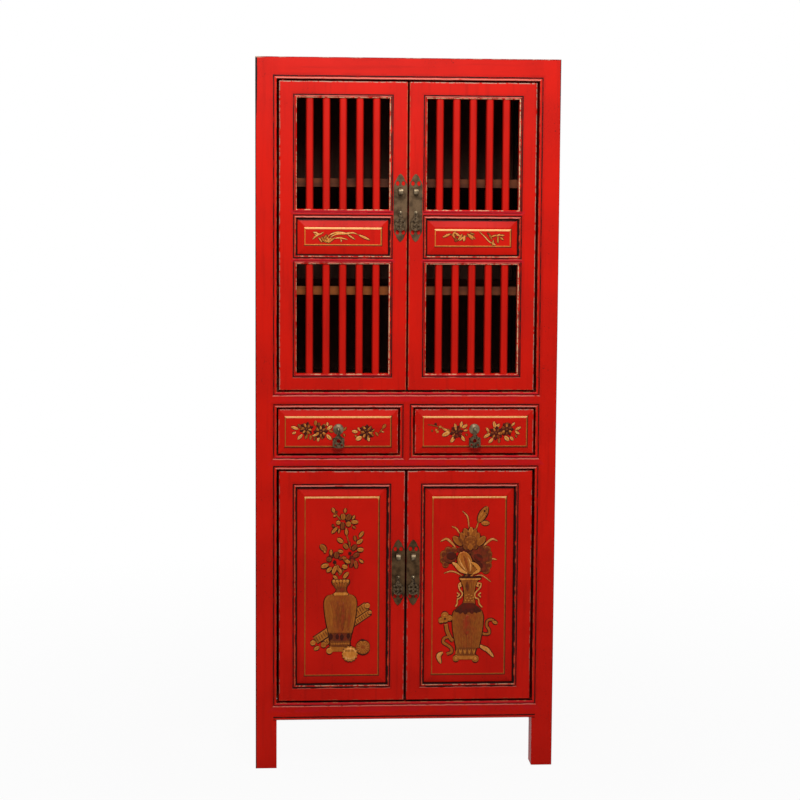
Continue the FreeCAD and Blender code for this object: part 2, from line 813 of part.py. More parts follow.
def end_rail(label, top, slotted):
    """The top or the bottom rail of a door frame, with a mitred face and a tenon at each end."""
    body = new_body(label)
    width, rail, corner = s.door_frame_width, s.door_rail_height, s.door_corner_radius
    inner = beaded_slotted if slotted else beaded
    low, high = (inner, plain) if top else (plain, inner)
    section = swapped(moulded_section(rail, s.door_thickness, low, high, door_slot))
    pad(body, "YZ_Plane", [section], door_width)
    ends = [rectangle(zero, zero, width, rail), rectangle(door_width - width, zero, door_width, rail)]
    pocket(body, "XZ_Plane", ends, s.door_thickness - s.lap_depth, lift=s.lap_depth)
    mitre = [(zero, zero), (width, rail), (zero, rail)]
    tip = [(zero, zero), (corner, zero), (zero, corner, corner, -1)]
    if top:
        mitre = [(zero, zero), (width, zero), (zero, rail)]
        tip = [(zero, rail), (zero, rail - corner), (corner, rail, corner, -1)]
    for loop in (mitre, tip):
        pocket(body, "XZ_Plane", [loop, mirrored(loop, door_width)], s.lap_depth)
    radius = s.hinge_edge_radius
    pocket(body, "XY_Plane", [[(zero, zero), (radius, zero), (zero, radius, radius, -1)]], rail)
    bar = rectangle(
        width - door_tenon.length,
        door_tenon.shoulder,
        door_width - width + door_tenon.length,
        rail - door_tenon.shoulder,
    )
    pad(body, "XZ_Plane", [bar], door_tenon.thickness, lift=door_tenon.inset)
    return body


def slat_centres():
    """Middle of each slat across the lattice, with equal gaps beside them all."""
    gap = (field_width - s.slat_width * slat_count) / (slat_count + 1)
    return [gap * (index + 1) + s.slat_width * (index + 0.5) for index in range(slat_count)]


def slat_tenons():
    near = s.slat_setback + (s.slat_depth - s.slat_tenon_thickness) / 2
    half = s.slat_tenon_width / 2
    far = near + s.slat_tenon_thickness
    return [rectangle(centre - half, near, centre + half, far) for centre in slat_centres()]


def moved(loops, distance):
    return [[(step[0] + distance,) + tuple(step[1:]) for step in loop] for loop in loops]


def make_slats(lattices):
    """Ten slats with rounded fronts, tenoned into the rails above and below."""
    body = new_body("upper_left_door_slats")
    half, round_off = s.slat_width / 2, s.slat_round
    front = s.slat_setback
    sections = []
    for centre in slat_centres():
        left, right = centre - half, centre + half
        sections.append([
            (left, front + s.slat_depth),
            (left, front + round_off),
            (left + round_off, front, round_off, 1),
            (right - round_off, front),
            (right, front + round_off, round_off, 1),
            (right, front + s.slat_depth),
        ])
    for low, high in lattices:
        pad(body, "XY_Plane", sections, high - low, lift=low)
        stub = s.slat_tenon_length
        pad(body, "XY_Plane", slat_tenons(), high - low + stub * 2, lift=low - stub)
    return body


def fielded_panel(label, width, height, edge):
    """A panel with a raised field and wide bevels. Its edge reaches into the grooves round the opening."""
    body = new_body(label)
    board = rectangle(-edge, -edge, width + edge, height + edge)
    pad(body, "XZ_Plane", [board], s.panel_tongue_thickness, lift=s.panel_setback)
    gap, bevel = s.panel_edge_gap, s.bevel_width
    foot = rectangle(gap, gap, width - gap, height - gap)
    field = rectangle(bevel, bevel, width - bevel, height - bevel)
    loft(body, "XZ_Plane", foot, s.panel_setback, field, s.panel_setback - s.bevel_rise)
    return body


def shank_holes(meeting_stile, plate_height):
    """Holes behind the lock plate for the shanks of the staple and of the pull eye."""
    across = s.door_frame_width - s.plate_edge_gap - s.plate_width / 2
    radius = s.shank_radius + s.shank_clearance
    discs = [Disc(across, plate_height + s.staple_rise, radius)]
    discs.append(Disc(across, plate_height - s.pull_eye_drop, radius))
    pocket(meeting_stile, "XZ_Plane", discs, s.shank_length + s.shank_clearance)


# Lock plate: half outline of one pointed end, as shares of the plate's half width across and of its full
# width along, with the arc's radius as a share of the width
plate_end_shares = [(0, 0), (0.62, 0.46, 0.72), (1, 1, 0.86)]
plate_hole_shares = {"across": 0.44, "low": 0.52, "high": 0.9, "radius": 0.2}


def make_plate(label, middle_height):
    body = new_body(label)
    half, width, height = s.plate_width / 2, s.plate_width, s.plate_height
    foot = [(half * share[0], width * share[1]) + ((width * share[2], 1) if len(share) > 2 else ())
            for share in plate_end_shares]
    top = [(foot[2][0], height - foot[2][1]), (foot[1][0], height - foot[1][1]) + foot[2][2:]]
    top.append((zero, height) + foot[1][2:])
    loops = [symmetric(foot + top)]
    share = plate_hole_shares
    for side in (-1, 1):
        across = half * share["across"] * side
        for low, high in (
            (width * share["low"], width * share["high"]),
            (height - width * share["high"], height - width * share["low"]),
        ):
            radius = width * share["radius"]
            loops.append([(across, low, radius, 1), (across, high, radius, 1)])
    radius = s.shank_radius + s.shank_clearance
    loops.append(Disc(zero, height / 2 + s.staple_rise, radius))
    loops.append(Disc(zero, height / 2 - s.pull_eye_drop, radius))
    pad(body, "XZ_Plane", loops, s.plate_thickness, back=True)
    return place(body, plate_middle, door_face, middle_height - height / 2)


def make_staple(label, middle_height):
    """A loop for the bolt of a padlock, standing out from the plate on its shank."""
    body = new_body(label)
    nose = s.staple_height / 2
    profile = [
        (s.staple_reach, -nose),
        (s.staple_reach, nose),
        (nose, nose),
        (zero, zero, nose, 1),
        (nose, -nose, nose, 1),
    ]
    bore = Disc(nose, zero, s.staple_bore_radius)
    pad(body, "YZ_Plane", [profile, bore], s.staple_width, lift=-s.staple_width / 2)
    shank = Disc(zero, zero, s.shank_radius)
    pad(body, "XZ_Plane", [shank], s.plate_thickness + s.shank_length, lift=s.staple_reach)
    front = door_face - s.plate_thickness - s.staple_reach
    return place(body, plate_middle, front, middle_height + s.staple_rise)


eye_reach = s.ring_radius + s.eye_neck + s.collar_thickness


def make_eye(label, buried):
    """A ring of square wire on a collared shank, which a pull hangs from. Its origin is the middle of the
    ring, and buried is how far the shank goes on behind the collar."""
    body = new_body(label)
    half = s.ring_wire / 2
    ring = [Disc(zero, zero, s.ring_radius + half), Disc(zero, zero, s.ring_radius - half)]
    pad(body, "YZ_Plane", ring, s.ring_wire, lift=-half)
    shank = Disc(zero, zero, s.shank_radius)
    pad(body, "XZ_Plane", [shank], eye_reach - s.ring_radius + buried, lift=s.ring_radius)
    collar = Disc(zero, zero, s.collar_radius)
    pad(body, "XZ_Plane", [collar], s.collar_thickness, lift=eye_reach - s.collar_thickness)
    return body


# Hanging pulls: half outlines from the top of the eye to the tip, as shares of the half width and of the
# length, with the arc's radius as a share of the width and its side
door_pull_shares = [
    (0, 0), (0.34, 0.1, 0.19, -1), (0.3, 0.2), (1, 0.46, 0.75, 1), (0.94, 0.78, 1.6, -1),
    (0.6, 0.95, 0.3, -1), (0, 1, 0.45, -1),
]
door_pull_hole_shares = [(0.42, 0.54, 0.125), (0.44, 0.77, 0.13)]
drawer_pull_shares = [
    (0, 0), (0.3, 0.1, 0.19, -1), (0.28, 0.26), (1, 0.44, 0.42, 1), (1, 0.84), (0.74, 0.97, 0.2, -1),
    (0, 1, 1.2, -1),
]
drawer_pull_hole_shares = [(0, 0.6, 0.16), (0.56, 0.84, 0.09)]


def make_pull(label, width, length, outline_shares, hole_shares):
    """A pierced drop that hangs on a ring. Its origin is the middle of the ring."""
    body = new_body(label)
    hole_radius = s.ring_wire * math.sqrt(1 / 2) + s.pull_clearance
    top = -s.ring_radius + hole_radius + s.pull_web
    drop = length + top
    half = []
    for share in outline_shares:
        arc = (width * share[2], share[3]) if len(share) > 2 else ()
        across = zero if share[0] == 0 else width / 2 * share[0]
        half.append((across, top - drop * share[1]) + arc)
    loops = [symmetric(half), Disc(zero, -s.ring_radius, hole_radius)]
    for across, down, radius in hole_shares:
        for side in (-1, 1) if across else (1,):
            middle = width / 2 * across * side if across else zero
            loops.append(Disc(middle, top - drop * down, width * radius))
    pad(body, "XZ_Plane", loops, s.pull_thickness, lift=-s.pull_thickness / 2)
    return body


def make_door_fittings(door, middle_height):
    keep_pair(make_plate(f"{door}_lock_plate", middle_height))
    staple = make_staple(f"{door}_staple", middle_height)
    eye = make_eye(f"{door}_pull_eye", s.plate_thickness + s.shank_length)
    eye_place = (plate_middle, door_face - s.plate_thickness - eye_reach, middle_height - s.pull_eye_drop)
    place(eye, *eye_place)
    keep_pair(group(f"{door}_lock_fittings", [staple, eye]))
    pull = make_pull(f"{door}_pull", s.pull_width, s.pull_length, door_pull_shares, door_pull_hole_shares)
    keep_pair(place(pull, *eye_place))


def make_upper_doors():
    door = "upper_left_door"
    frame, end, middle = s.door_frame_width, s.door_rail_height, s.door_middle_rail_height
    lattice = (upper_door_height - end * 2 - middle * 2 - s.small_panel_height) / 2
    lower_lattice = (end, end + lattice)
    low_middle = lower_lattice[1]
    panel_span = (low_middle + middle, low_middle + middle + s.small_panel_height)
    high_middle = panel_span[1]
    upper_lattice = (high_middle + middle, high_middle + middle + lattice)
    middle_rails = [low_middle, high_middle]
    meeting_left = door_left + door_width - frame

    hinge_stile = stile(f"{door}_hinge_stile", upper_door_height, True, middle_rails, panel_span)
    keep_pair(place(hinge_stile, door_left, door_face, upper_door_low))
    meeting_stile = stile(f"{door}_meeting_stile", upper_door_height, False, middle_rails, panel_span)
    shank_holes(meeting_stile, upper_plate_height)
    keep_pair(place(meeting_stile, meeting_left, door_face, upper_door_low))

    bottom = end_rail(f"{door}_bottom_rail", False, False)
    pocket(bottom, "XY_Plane", moved(slat_tenons(), frame), s.slat_tenon_length, lift=end, back=True)
    top = end_rail(f"{door}_top_rail", True, False)
    pocket(top, "XY_Plane", moved(slat_tenons(), frame), s.slat_tenon_length)
    place(bottom, door_left, door_face, upper_door_low)
    place(top, door_left, door_face, upper_door_low + upper_door_height - end)
    rails = [bottom, top]
    for name, low, slot_above in (("lower", low_middle, True), ("upper", high_middle, False)):
        edges = (beaded, beaded_slotted) if slot_above else (beaded_slotted, beaded)
        rail = lapped_member(
            f"{door}_{name}_middle_rail", False, field_width, middle, s.door_thickness,
            edges[0], edges[1], door_slot, middle_tenon,
        )
        mortises = moved(slat_tenons(), door_tenon.length)
        if slot_above:
            pocket(rail, "XY_Plane", mortises, s.slat_tenon_length)
        else:
            pocket(rail, "XY_Plane", mortises, s.slat_tenon_length, lift=middle, back=True)
        rails.append(place(rail, door_left + frame - door_tenon.length, door_face, upper_door_low + low))
    keep_pair(group(f"{door}_rails", rails))

    slats = make_slats([lower_lattice, upper_lattice])
    keep_pair(place(slats, door_left + frame, door_face, upper_door_low))
    edge = s.panel_groove_depth - s.panel_play
    panel = fielded_panel(f"{door}_panel", field_width, s.small_panel_height, edge)
    keep_pair(place(panel, door_left + frame, door_face, upper_door_low + panel_span[0]))
    make_door_fittings(door, upper_door_low + upper_plate_height)


def make_lower_doors():
    door = "lower_left_door"
    frame, end = s.door_frame_width, s.door_rail_height
    panel_span = (end, lower_door_height - end)
    hinge_stile = stile(f"{door}_hinge_stile", lower_door_height, True, [], panel_span)
    keep_pair(place(hinge_stile, door_left, door_face, lower_door_low))
    meeting_stile = stile(f"{door}_meeting_stile", lower_door_height, False, [], panel_span)
    shank_holes(meeting_stile, lower_plate_height)
    keep_pair(place(meeting_stile, door_left + door_width - frame, door_face, lower_door_low))
    bottom = place(end_rail(f"{door}_bottom_rail", False, True), door_left, door_face, lower_door_low)
    top = end_rail(f"{door}_top_rail", True, True)
    place(top, door_left, door_face, lower_door_low + lower_door_height - end)
    keep_pair(group(f"{door}_rails", [bottom, top]))
    edge = s.panel_groove_depth - s.panel_play
    panel = fielded_panel(f"{door}_panel", field_width, lower_door_height - end * 2, edge)
    keep_pair(place(panel, door_left + frame, door_face, lower_door_low + end))
    make_door_fittings(door, lower_door_low + lower_plate_height)


def make_drawer_front(width, height, pull_height):
    front = new_body("left_drawer_front")
    outline = rectangle(zero, zero, width, height)
    bevel = s.bevel_width
    field = rectangle(bevel, bevel, width - bevel, height - bevel)
    pad(front, "XZ_Plane", [outline], s.drawer_edge_thickness, lift=s.bevel_rise)
    loft(front, "XZ_Plane", outline, s.bevel_rise, field, zero)
    hole = Disc(width / 2, pull_height, s.shank_radius + s.shank_clearance)
    pocket(front, "XZ_Plane", [hole], s.shank_length + s.shank_clearance)
    return front


def make_drawer_box(width):
    """Two sides, a back and a bottom held in grooves of the sides. The origin is the left side's foot."""
    wall = s.drawer_side_thickness
    front_depth = s.drawer_setback + s.bevel_rise + s.drawer_edge_thickness
    length = s.overall_depth - front_depth - s.drawer_back_gap - s.rear_rail_depth
    floor_low = s.drawer_bottom_rise
    floor_high = floor_low + s.drawer_bottom_thickness
    inner = wall - s.drawer_groove_depth
    section = [
        (zero, zero), (wall, zero), (wall, floor_low), (inner, floor_low), (inner, floor_high),
        (wall, floor_high), (wall, s.drawer_side_height), (zero, s.drawer_side_height),
    ]
    box = new_body("left_drawer_box")
    pad(box, "XZ_Plane", [section, mirrored(section, width)], length)
    floor = rectangle(inner, zero, width - inner, length)
    pad(box, "XY_Plane", [floor], s.drawer_bottom_thickness, lift=floor_low)
    back_wall = rectangle(wall, floor_high, width - wall, s.drawer_side_height)
    pad(box, "XZ_Plane", [back_wall], wall, lift=length - wall)
    return box


def make_drawers():
    opening = (opening_width - s.divider_width) / 2
    width = opening - s.drawer_gap * 2
    height = s.drawer_opening_height - s.drawer_gap * 2
    low = drawer_opening_low + s.drawer_gap
    face = front_face + s.drawer_setback
    pull_height = height / 2 + s.rosette_rise
    front = make_drawer_front(width, height, pull_height)
    keep_pair(place(front, inner_left + s.drawer_gap, face, low))
    box = make_drawer_box(opening - s.drawer_side_inset * 2)
    box_front = face + s.bevel_rise + s.drawer_edge_thickness
    box_low = drawer_opening_low + s.runner_clearance
    keep_pair(place(box, inner_left + s.drawer_side_inset, box_front, box_low))

    pull_across = inner_left + opening / 2
    rosette = new_body("left_drawer_rosette_dome")
    hole = s.shank_radius + s.shank_clearance
    dome = [
        (hole, zero),
        (hole, -s.rosette_height),
        (s.rosette_radius, -s.rosette_rim, s.rosette_dome_radius, 1),
        (s.rosette_radius, zero),
    ]
    revolve(rosette, "XY_Plane", [dome], "V_Axis")
    place(rosette, pull_across, face, low + pull_height)
    eye = make_eye("left_drawer_pull_eye", s.rosette_height + s.shank_length)
    eye_place = (pull_across, face - s.rosette_height - eye_reach, low + pull_height)
    place(eye, *eye_place)
    keep_pair(group("left_drawer_rosette", [rosette, eye]))
    pull = make_pull(
        "left_drawer_pull", s.drawer_pull_width, s.drawer_pull_length,
        drawer_pull_shares, drawer_pull_hole_shares,
    )
    keep_pair(place(pull, *eye_place))


make_posts()
make_front_rails()
make_side_frames()
make_back()
make_top()
make_boards()
make_runners()
make_upper_doors()
make_lower_doors()
make_drawers()
doc.recompute()

faults = [item.Label for item in doc.Objects if {"Invalid", "Error"} & set(item.State)]
faults += [node.Label for node in nodes if node.Shape.isNull() or not node.Shape.isValid()]
if faults:
    raise RuntimeError("these did not build: " + ", ".join(faults))
for node in nodes:
    node.Shape.exportStep(f"parts/{node.Label}.step")
print(len(nodes), "nodes,", sum(len(node.Shape.Solids) for node in nodes), "solids")
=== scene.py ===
import math

import bpy
import numpy as np
from mathutils import Matrix, Vector


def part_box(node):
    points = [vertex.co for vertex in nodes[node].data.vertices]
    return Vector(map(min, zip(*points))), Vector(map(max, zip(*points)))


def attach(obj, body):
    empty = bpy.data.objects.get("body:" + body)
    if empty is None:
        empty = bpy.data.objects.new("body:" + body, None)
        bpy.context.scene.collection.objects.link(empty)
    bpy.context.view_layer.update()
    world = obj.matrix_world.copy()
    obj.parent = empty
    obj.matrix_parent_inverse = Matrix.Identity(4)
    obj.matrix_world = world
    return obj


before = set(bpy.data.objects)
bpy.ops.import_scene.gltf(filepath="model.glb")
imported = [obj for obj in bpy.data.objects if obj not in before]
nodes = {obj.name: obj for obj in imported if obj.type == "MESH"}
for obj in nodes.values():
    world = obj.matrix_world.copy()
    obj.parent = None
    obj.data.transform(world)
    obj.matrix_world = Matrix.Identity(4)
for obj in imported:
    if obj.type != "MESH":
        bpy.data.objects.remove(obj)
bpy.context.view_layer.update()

mm = 0.001
scene = bpy.context.scene
print("frame loaded:", len(nodes), "nodes")


# Places read from the frame: opening rectangles seen from the front, as (x0, x1, z0, z1)

def nodeRect(*names):
    lows, highs = zip(*(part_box(name) for name in names))
    return (min(low.x for low in lows), max(high.x for high in highs),
            min(low.z for low in lows), max(high.z for high in highs))


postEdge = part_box("front_right_post")[0].x
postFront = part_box("front_right_post")[0].y
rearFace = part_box("rear_right_post")[1].y
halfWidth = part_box("front_right_post")[1].x
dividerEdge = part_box("drawer_divider")[1].x
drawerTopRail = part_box("drawer_top_rail")
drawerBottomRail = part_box("drawer_bottom_rail")
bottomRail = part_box("bottom_front_rail")
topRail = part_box("top_front_rail")
upperOpening = (-postEdge, postEdge, drawerTopRail[1].z, topRail[0].z)
lowerOpening = (-postEdge, postEdge, bottomRail[1].z, drawerBottomRail[0].z)
drawerOpening = (dividerEdge, postEdge, drawerBottomRail[1].z, drawerTopRail[0].z)
legOpening = (-postEdge, postEdge, -1.0, bottomRail[0].z)

doorFrame = {"rail": 44 * mm, "middleRail": 24 * mm, "tongue": 6 * mm}


def panelOpening(name):          # a panel's tongue reaches into the grooves round its opening
    x0, x1, z0, z1 = nodeRect(name)
    reach = doorFrame["tongue"]
    return (x0 + reach, x1 - reach, z0 + reach, z1 - reach)


upperDoor = nodeRect("upper_right_door_rails")
lowerDoor = nodeRect("lower_right_door_rails")
drawerFace = nodeRect("right_drawer_front")
smallPanel = panelOpening("upper_right_door_panel")
largePanel = panelOpening("lower_right_door_panel")
lowerLattice = (smallPanel[0], smallPanel[1], upperDoor[2] + doorFrame["rail"],
                smallPanel[2] - doorFrame["middleRail"])
upperLattice = (smallPanel[0], smallPanel[1], smallPanel[3] + doorFrame["middleRail"],
                upperDoor[3] - doorFrame["rail"])


# Shader helpers

def addNode(tree, kind, inputs=None, **settings):
    made = tree.nodes.new(kind)
    for key, value in settings.items():
        setattr(made, key, value)
    for key, value in (inputs or {}).items():
        if isinstance(value, bpy.types.NodeSocket):
            tree.links.new(value, made.inputs[key])
        else:
            made.inputs[key].default_value = value
    return made


def calc(tree, operation, first, second=None, clamp=False):
    inputs = {0: first}
    if second is not None:
        inputs[1] = second
    return addNode(tree, "ShaderNodeMath", inputs, operation=operation, use_clamp=clamp).outputs[0]


def mixColour(tree, factor, first, second, blend="MIX"):
    inputs = {0: factor, 6: first, 7: second}
    return addNode(tree, "ShaderNodeMix", inputs, data_type="RGBA", blend_type=blend).outputs[2]


def between(tree, value, low, high):          # smooth step from 0 at low to 1 at high
    made = addNode(tree, "ShaderNodeMapRange", {0: value, 1: low, 2: high}, interpolation_type="SMOOTHSTEP")
    return made.outputs[0]


def noise(tree, place, scale, detail=3.0, stretch=None):
    if stretch:
        place = addNode(tree, "ShaderNodeMapping", {"Vector": place, "Scale": stretch}).outputs[0]
    made = addNode(tree, "ShaderNodeTexNoise", {"Vector": place, "Scale": scale, "Detail": detail})
    return made.outputs["Fac"]


def newMaterial(name):
    material = bpy.data.materials.new(name)
    material.use_nodes = True
    tree = material.node_tree
    tree.nodes.clear()
    shader = addNode(tree, "ShaderNodeBsdfPrincipled")
    addNode(tree, "ShaderNodeOutputMaterial", {"Surface": shader.outputs[0]}, is_active_output=True)
    return material, tree, shader


def finishSurface(tree, shader, colour, roughness, sheen, height, bump):
    strength, distance = bump          # the distance is in mm
    inputs = {"Height": height, "Strength": strength, "Distance": distance * mm}
    relief = addNode(tree, "ShaderNodeBump", inputs)
    tree.links.new(colour, shader.inputs["Base Color"])
    tree.links.new(relief.outputs[0], shader.inputs["Normal"])
    shader.inputs["Specular IOR Level"].default_value = sheen
    if isinstance(roughness, float):
        shader.inputs["Roughness"].default_value = roughness
    else:
        tree.links.new(roughness, shader.inputs["Roughness"])


# Red lacquer, rubbed along its edges, with painted highlights on the bead crests and painted shade, with some
# grime, in its corners, quirks and gaps

lacquer = {
    "red": (0.67, 0.0095, 0.0030, 1), "redDeep": (0.55, 0.0075, 0.0025, 1),
    "redDark": (0.24, 0.004, 0.002, 1), "crimson": (0.55, 0.008, 0.020, 1),
    "pinkRubAndHighlight": (0.84, 0.23, 0.17, 1), "cream": (0.78, 0.50, 0.28, 1),
    "tan": (0.40, 0.16, 0.065, 1), "bone": (0.50, 0.33, 0.24, 1), "grimeAndShade": (0.012, 0.005, 0.004, 1),
    "fleck": (0.06, 0.008, 0.006, 1), "inside": (0.034, 0.015, 0.011, 1),
    "insideLight": (0.105, 0.048, 0.033, 1), "roughness": 0.38, "creviceShade": 5 * mm,
    "sheen": 0.09, "bump": (0.15, 0.5), "cloudScale": 7.0, "rubScale": 42.0, "dotScale": 150.0,
    "fineScale": 260.0, "grain": 70, "grainAlong": 5, "wobble": 2.4 * mm,
}

# A line follows a rectangle: (which edges, distance outwards in mm, half width in mm, tint, strength,
# and the two values of the rubbing noise between which it fades in). Cream, tan and bone lines are wear;
# pink lines are painted highlights on the bead crests, with some rubbed paint; grime lines are painted
# shade in the quirks and gaps, under the beads and on the right-hand sides, with some grime
openingLines = (
    ("all", 10.0, 8.0, "redDark", 0.35, 0.3, 0.7), ("bottom", 5.0, 4.6, "crimson", 0.7, 0.0, 0.2),
    ("bottom", 20.0, 9.0, "crimson", 0.45, 0.3, 0.6), ("top", 3.0, 2.5, "pinkRubAndHighlight", 0.95, 0.2, 0.4),
    ("bottom", 1.4, 1.2, "tan", 0.8, 0.42, 0.54), ("bottom", 10.4, 2.0, "pinkRubAndHighlight", 0.75, 0.25, 0.45),
    ("side", 1.6, 1.1, "tan", 0.5, 0.42, 0.56), ("top", 8.2, 2.6, "grimeAndShade", 0.95, 0.8, 0.5),
    ("side", 8.2, 2.4, "grimeAndShade", 0.9, 0.75, 0.45), ("bottom", 7.6, 1.6, "grimeAndShade", 0.85, 0.75, 0.45),
    ("all", -0.8, 1.9, "grimeAndShade", 1.0, 1.1, 1.0),
)
legLines = (("top", 2.0, 1.8, "pinkRubAndHighlight", 0.5, 0.3, 0.5), ("top", 8.0, 2.4, "grimeAndShade", 0.95, 0.8, 0.5))
outlineLines = (("top", -1.0, 1.6, "redDark", 0.9, 0.2, 0.4), ("top", -0.7, 1.1, "bone", 0.8, 0.5, 0.6))
latticeLines = (
    ("all", 10.0, 7.0, "redDark", 0.3, 0.3, 0.7), ("top", 5.0, 2.4, "pinkRubAndHighlight", 0.6, 0.3, 0.5),
    ("bottom", 5.4, 3.6, "crimson", 0.8, 0.0, 0.2), ("top", 1.5, 1.4, "cream", 0.95, 0.34, 0.46),
    ("side", 1.2, 1.1, "cream", 0.6, 0.4, 0.52), ("right", 1.6, 1.7, "cream", 0.95, 0.3, 0.45),
    ("bottom", 1.8, 1.7, "cream", 0.7, 0.44, 0.54), ("bottom", 9.8, 1.5, "pinkRubAndHighlight", 0.6, 0.25, 0.4),
    ("all", 3.6, 1.3, "grimeAndShade", 0.85, 0.66, 0.42), ("right", 4.4, 1.8, "grimeAndShade", 0.9, 0.6, 0.42),
    ("all", 8.2, 2.6, "grimeAndShade", 0.95, 0.8, 0.5),
)
panelLines = (
    ("all", 10.0, 7.0, "redDark", 0.3, 0.3, 0.7), ("top", 3.8, 2.3, "pinkRubAndHighlight", 0.9, 0.25, 0.42),
    ("bottom", 3.0, 1.4, "cream", 0.75, 0.38, 0.5), ("side", 3.8, 1.4, "tan", 0.65, 0.36, 0.52),
    ("bottom", 10.0, 1.5, "pinkRubAndHighlight", 0.55, 0.3, 0.5), ("bottom", 5.6, 1.3, "grimeAndShade", 0.85, 0.7, 0.45),
    ("all", 8.0, 2.6, "grimeAndShade", 0.95, 0.8, 0.48), ("all", -0.2, 3.0, "grimeAndShade", 1.0, 1.0, 0.7),
    ("side", 1.6, 2.2, "grimeAndShade", 0.85, 0.62, 0.42), ("right", 2.2, 3.2, "grimeAndShade", 0.95, 0.66, 0.44),
)
smallPanelLines = panelLines + (
    ("top", 16.0, 6.5, "crimson", 0.65, 0.0, 0.2), ("bottom", 14.0, 6.0, "crimson", 0.65, 0.0, 0.2))
rimLines = (
    ("top", -2.0, 1.5, "bone", 0.85, 0.36, 0.5), ("side", -1.8, 1.1, "bone", 0.55, 0.42, 0.54),
    ("bottom", -2.0, 1.2, "tan", 0.4, 0.45, 0.6), ("all", 0.4, 1.8, "grimeAndShade", 0.95, 1.1, 1.0),
)
upperRimLines = (
    ("top", -2.0, 1.6, "bone", 0.9, 0.3, 0.46), ("outer", -1.8, 1.5, "bone", 0.85, 0.32, 0.48),
    ("inner", -0.6, 1.1, "tan", 0.6, 0.4, 0.5), ("bottom", -2.0, 1.2, "tan", 0.4, 0.45, 0.6),
    ("top", 0.4, 1.8, "grimeAndShade", 0.95, 1.1, 1.0), ("bottom", 0.4, 1.8, "grimeAndShade", 0.95, 1.1, 1.0),
    ("outer", 0.4, 1.8, "grimeAndShade", 0.95, 1.1, 1.0), ("inner", 0.9, 0.9, "grimeAndShade", 0.9, 1.1, 1.0),
)
# painted shade round the panel fields, deepest under the top bead
fieldLines = (("all", -0.6, 2.8, "grimeAndShade", 0.95, 0.95, 0.6), ("top", -2.8, 4.2, "grimeAndShade", 0.95, 0.9, 0.5))


def edgeZones(tree, axes, wobble, rect):          # distance outwards from a rectangle, and the nearest edge
    x0, x1, z0, z1 = rect
    if x0 < 0:
        x0, x1 = -x1, x1
    absX = calc(tree, "ABSOLUTE", axes.outputs[0])
    rise = calc(tree, "SUBTRACT", axes.outputs[2], (z0 + z1) / 2)
    sideways = calc(tree, "SUBTRACT", absX, (x0 + x1) / 2)
    across = calc(tree, "SUBTRACT", calc(tree, "ABSOLUTE", sideways), (x1 - x0) / 2)
    along = calc(tree, "SUBTRACT", calc(tree, "ABSOLUTE", rise), (z1 - z0) / 2)
    side = calc(tree, "GREATER_THAN", across, along)
    level = calc(tree, "SUBTRACT", 1.0, side)
    high = calc(tree, "GREATER_THAN", rise, 0.0)
    right = calc(tree, "GREATER_THAN", calc(tree, "MULTIPLY", sideways, axes.outputs[0]), 0.0)
    outer = calc(tree, "MULTIPLY", side, calc(tree, "GREATER_THAN", sideways, 0.0))
    distance = calc(tree, "ADD", calc(tree, "MAXIMUM", across, along), wobble)
    return {"distance": distance, "side": side, "outer": outer, "inner": calc(tree, "SUBTRACT", side, outer),
            "top": calc(tree, "MULTIPLY", level, high), "right": calc(tree, "MULTIPLY", side, right),
            "bottom": calc(tree, "MULTIPLY", level, calc(tree, "SUBTRACT", 1.0, high))}


def wearAndLightLine(tree, zones, line, rub):          # 1 on the middle of the line, fading to 0 at its sides
    zone, place, half, tint, strength, low, high = line
    away = calc(tree, "ABSOLUTE", calc(tree, "SUBTRACT", zones["distance"], place * mm))
    share = calc(tree, "SUBTRACT", 1.0, calc(tree, "DIVIDE", away, half * mm))
    mask = calc(tree, "MULTIPLY", share, 1.7, clamp=True)
    if zone != "all":
        mask = calc(tree, "MULTIPLY", mask, zones[zone])
    return calc(tree, "MULTIPLY", calc(tree, "MULTIPLY", mask, between(tree, rub, low, high)), strength)


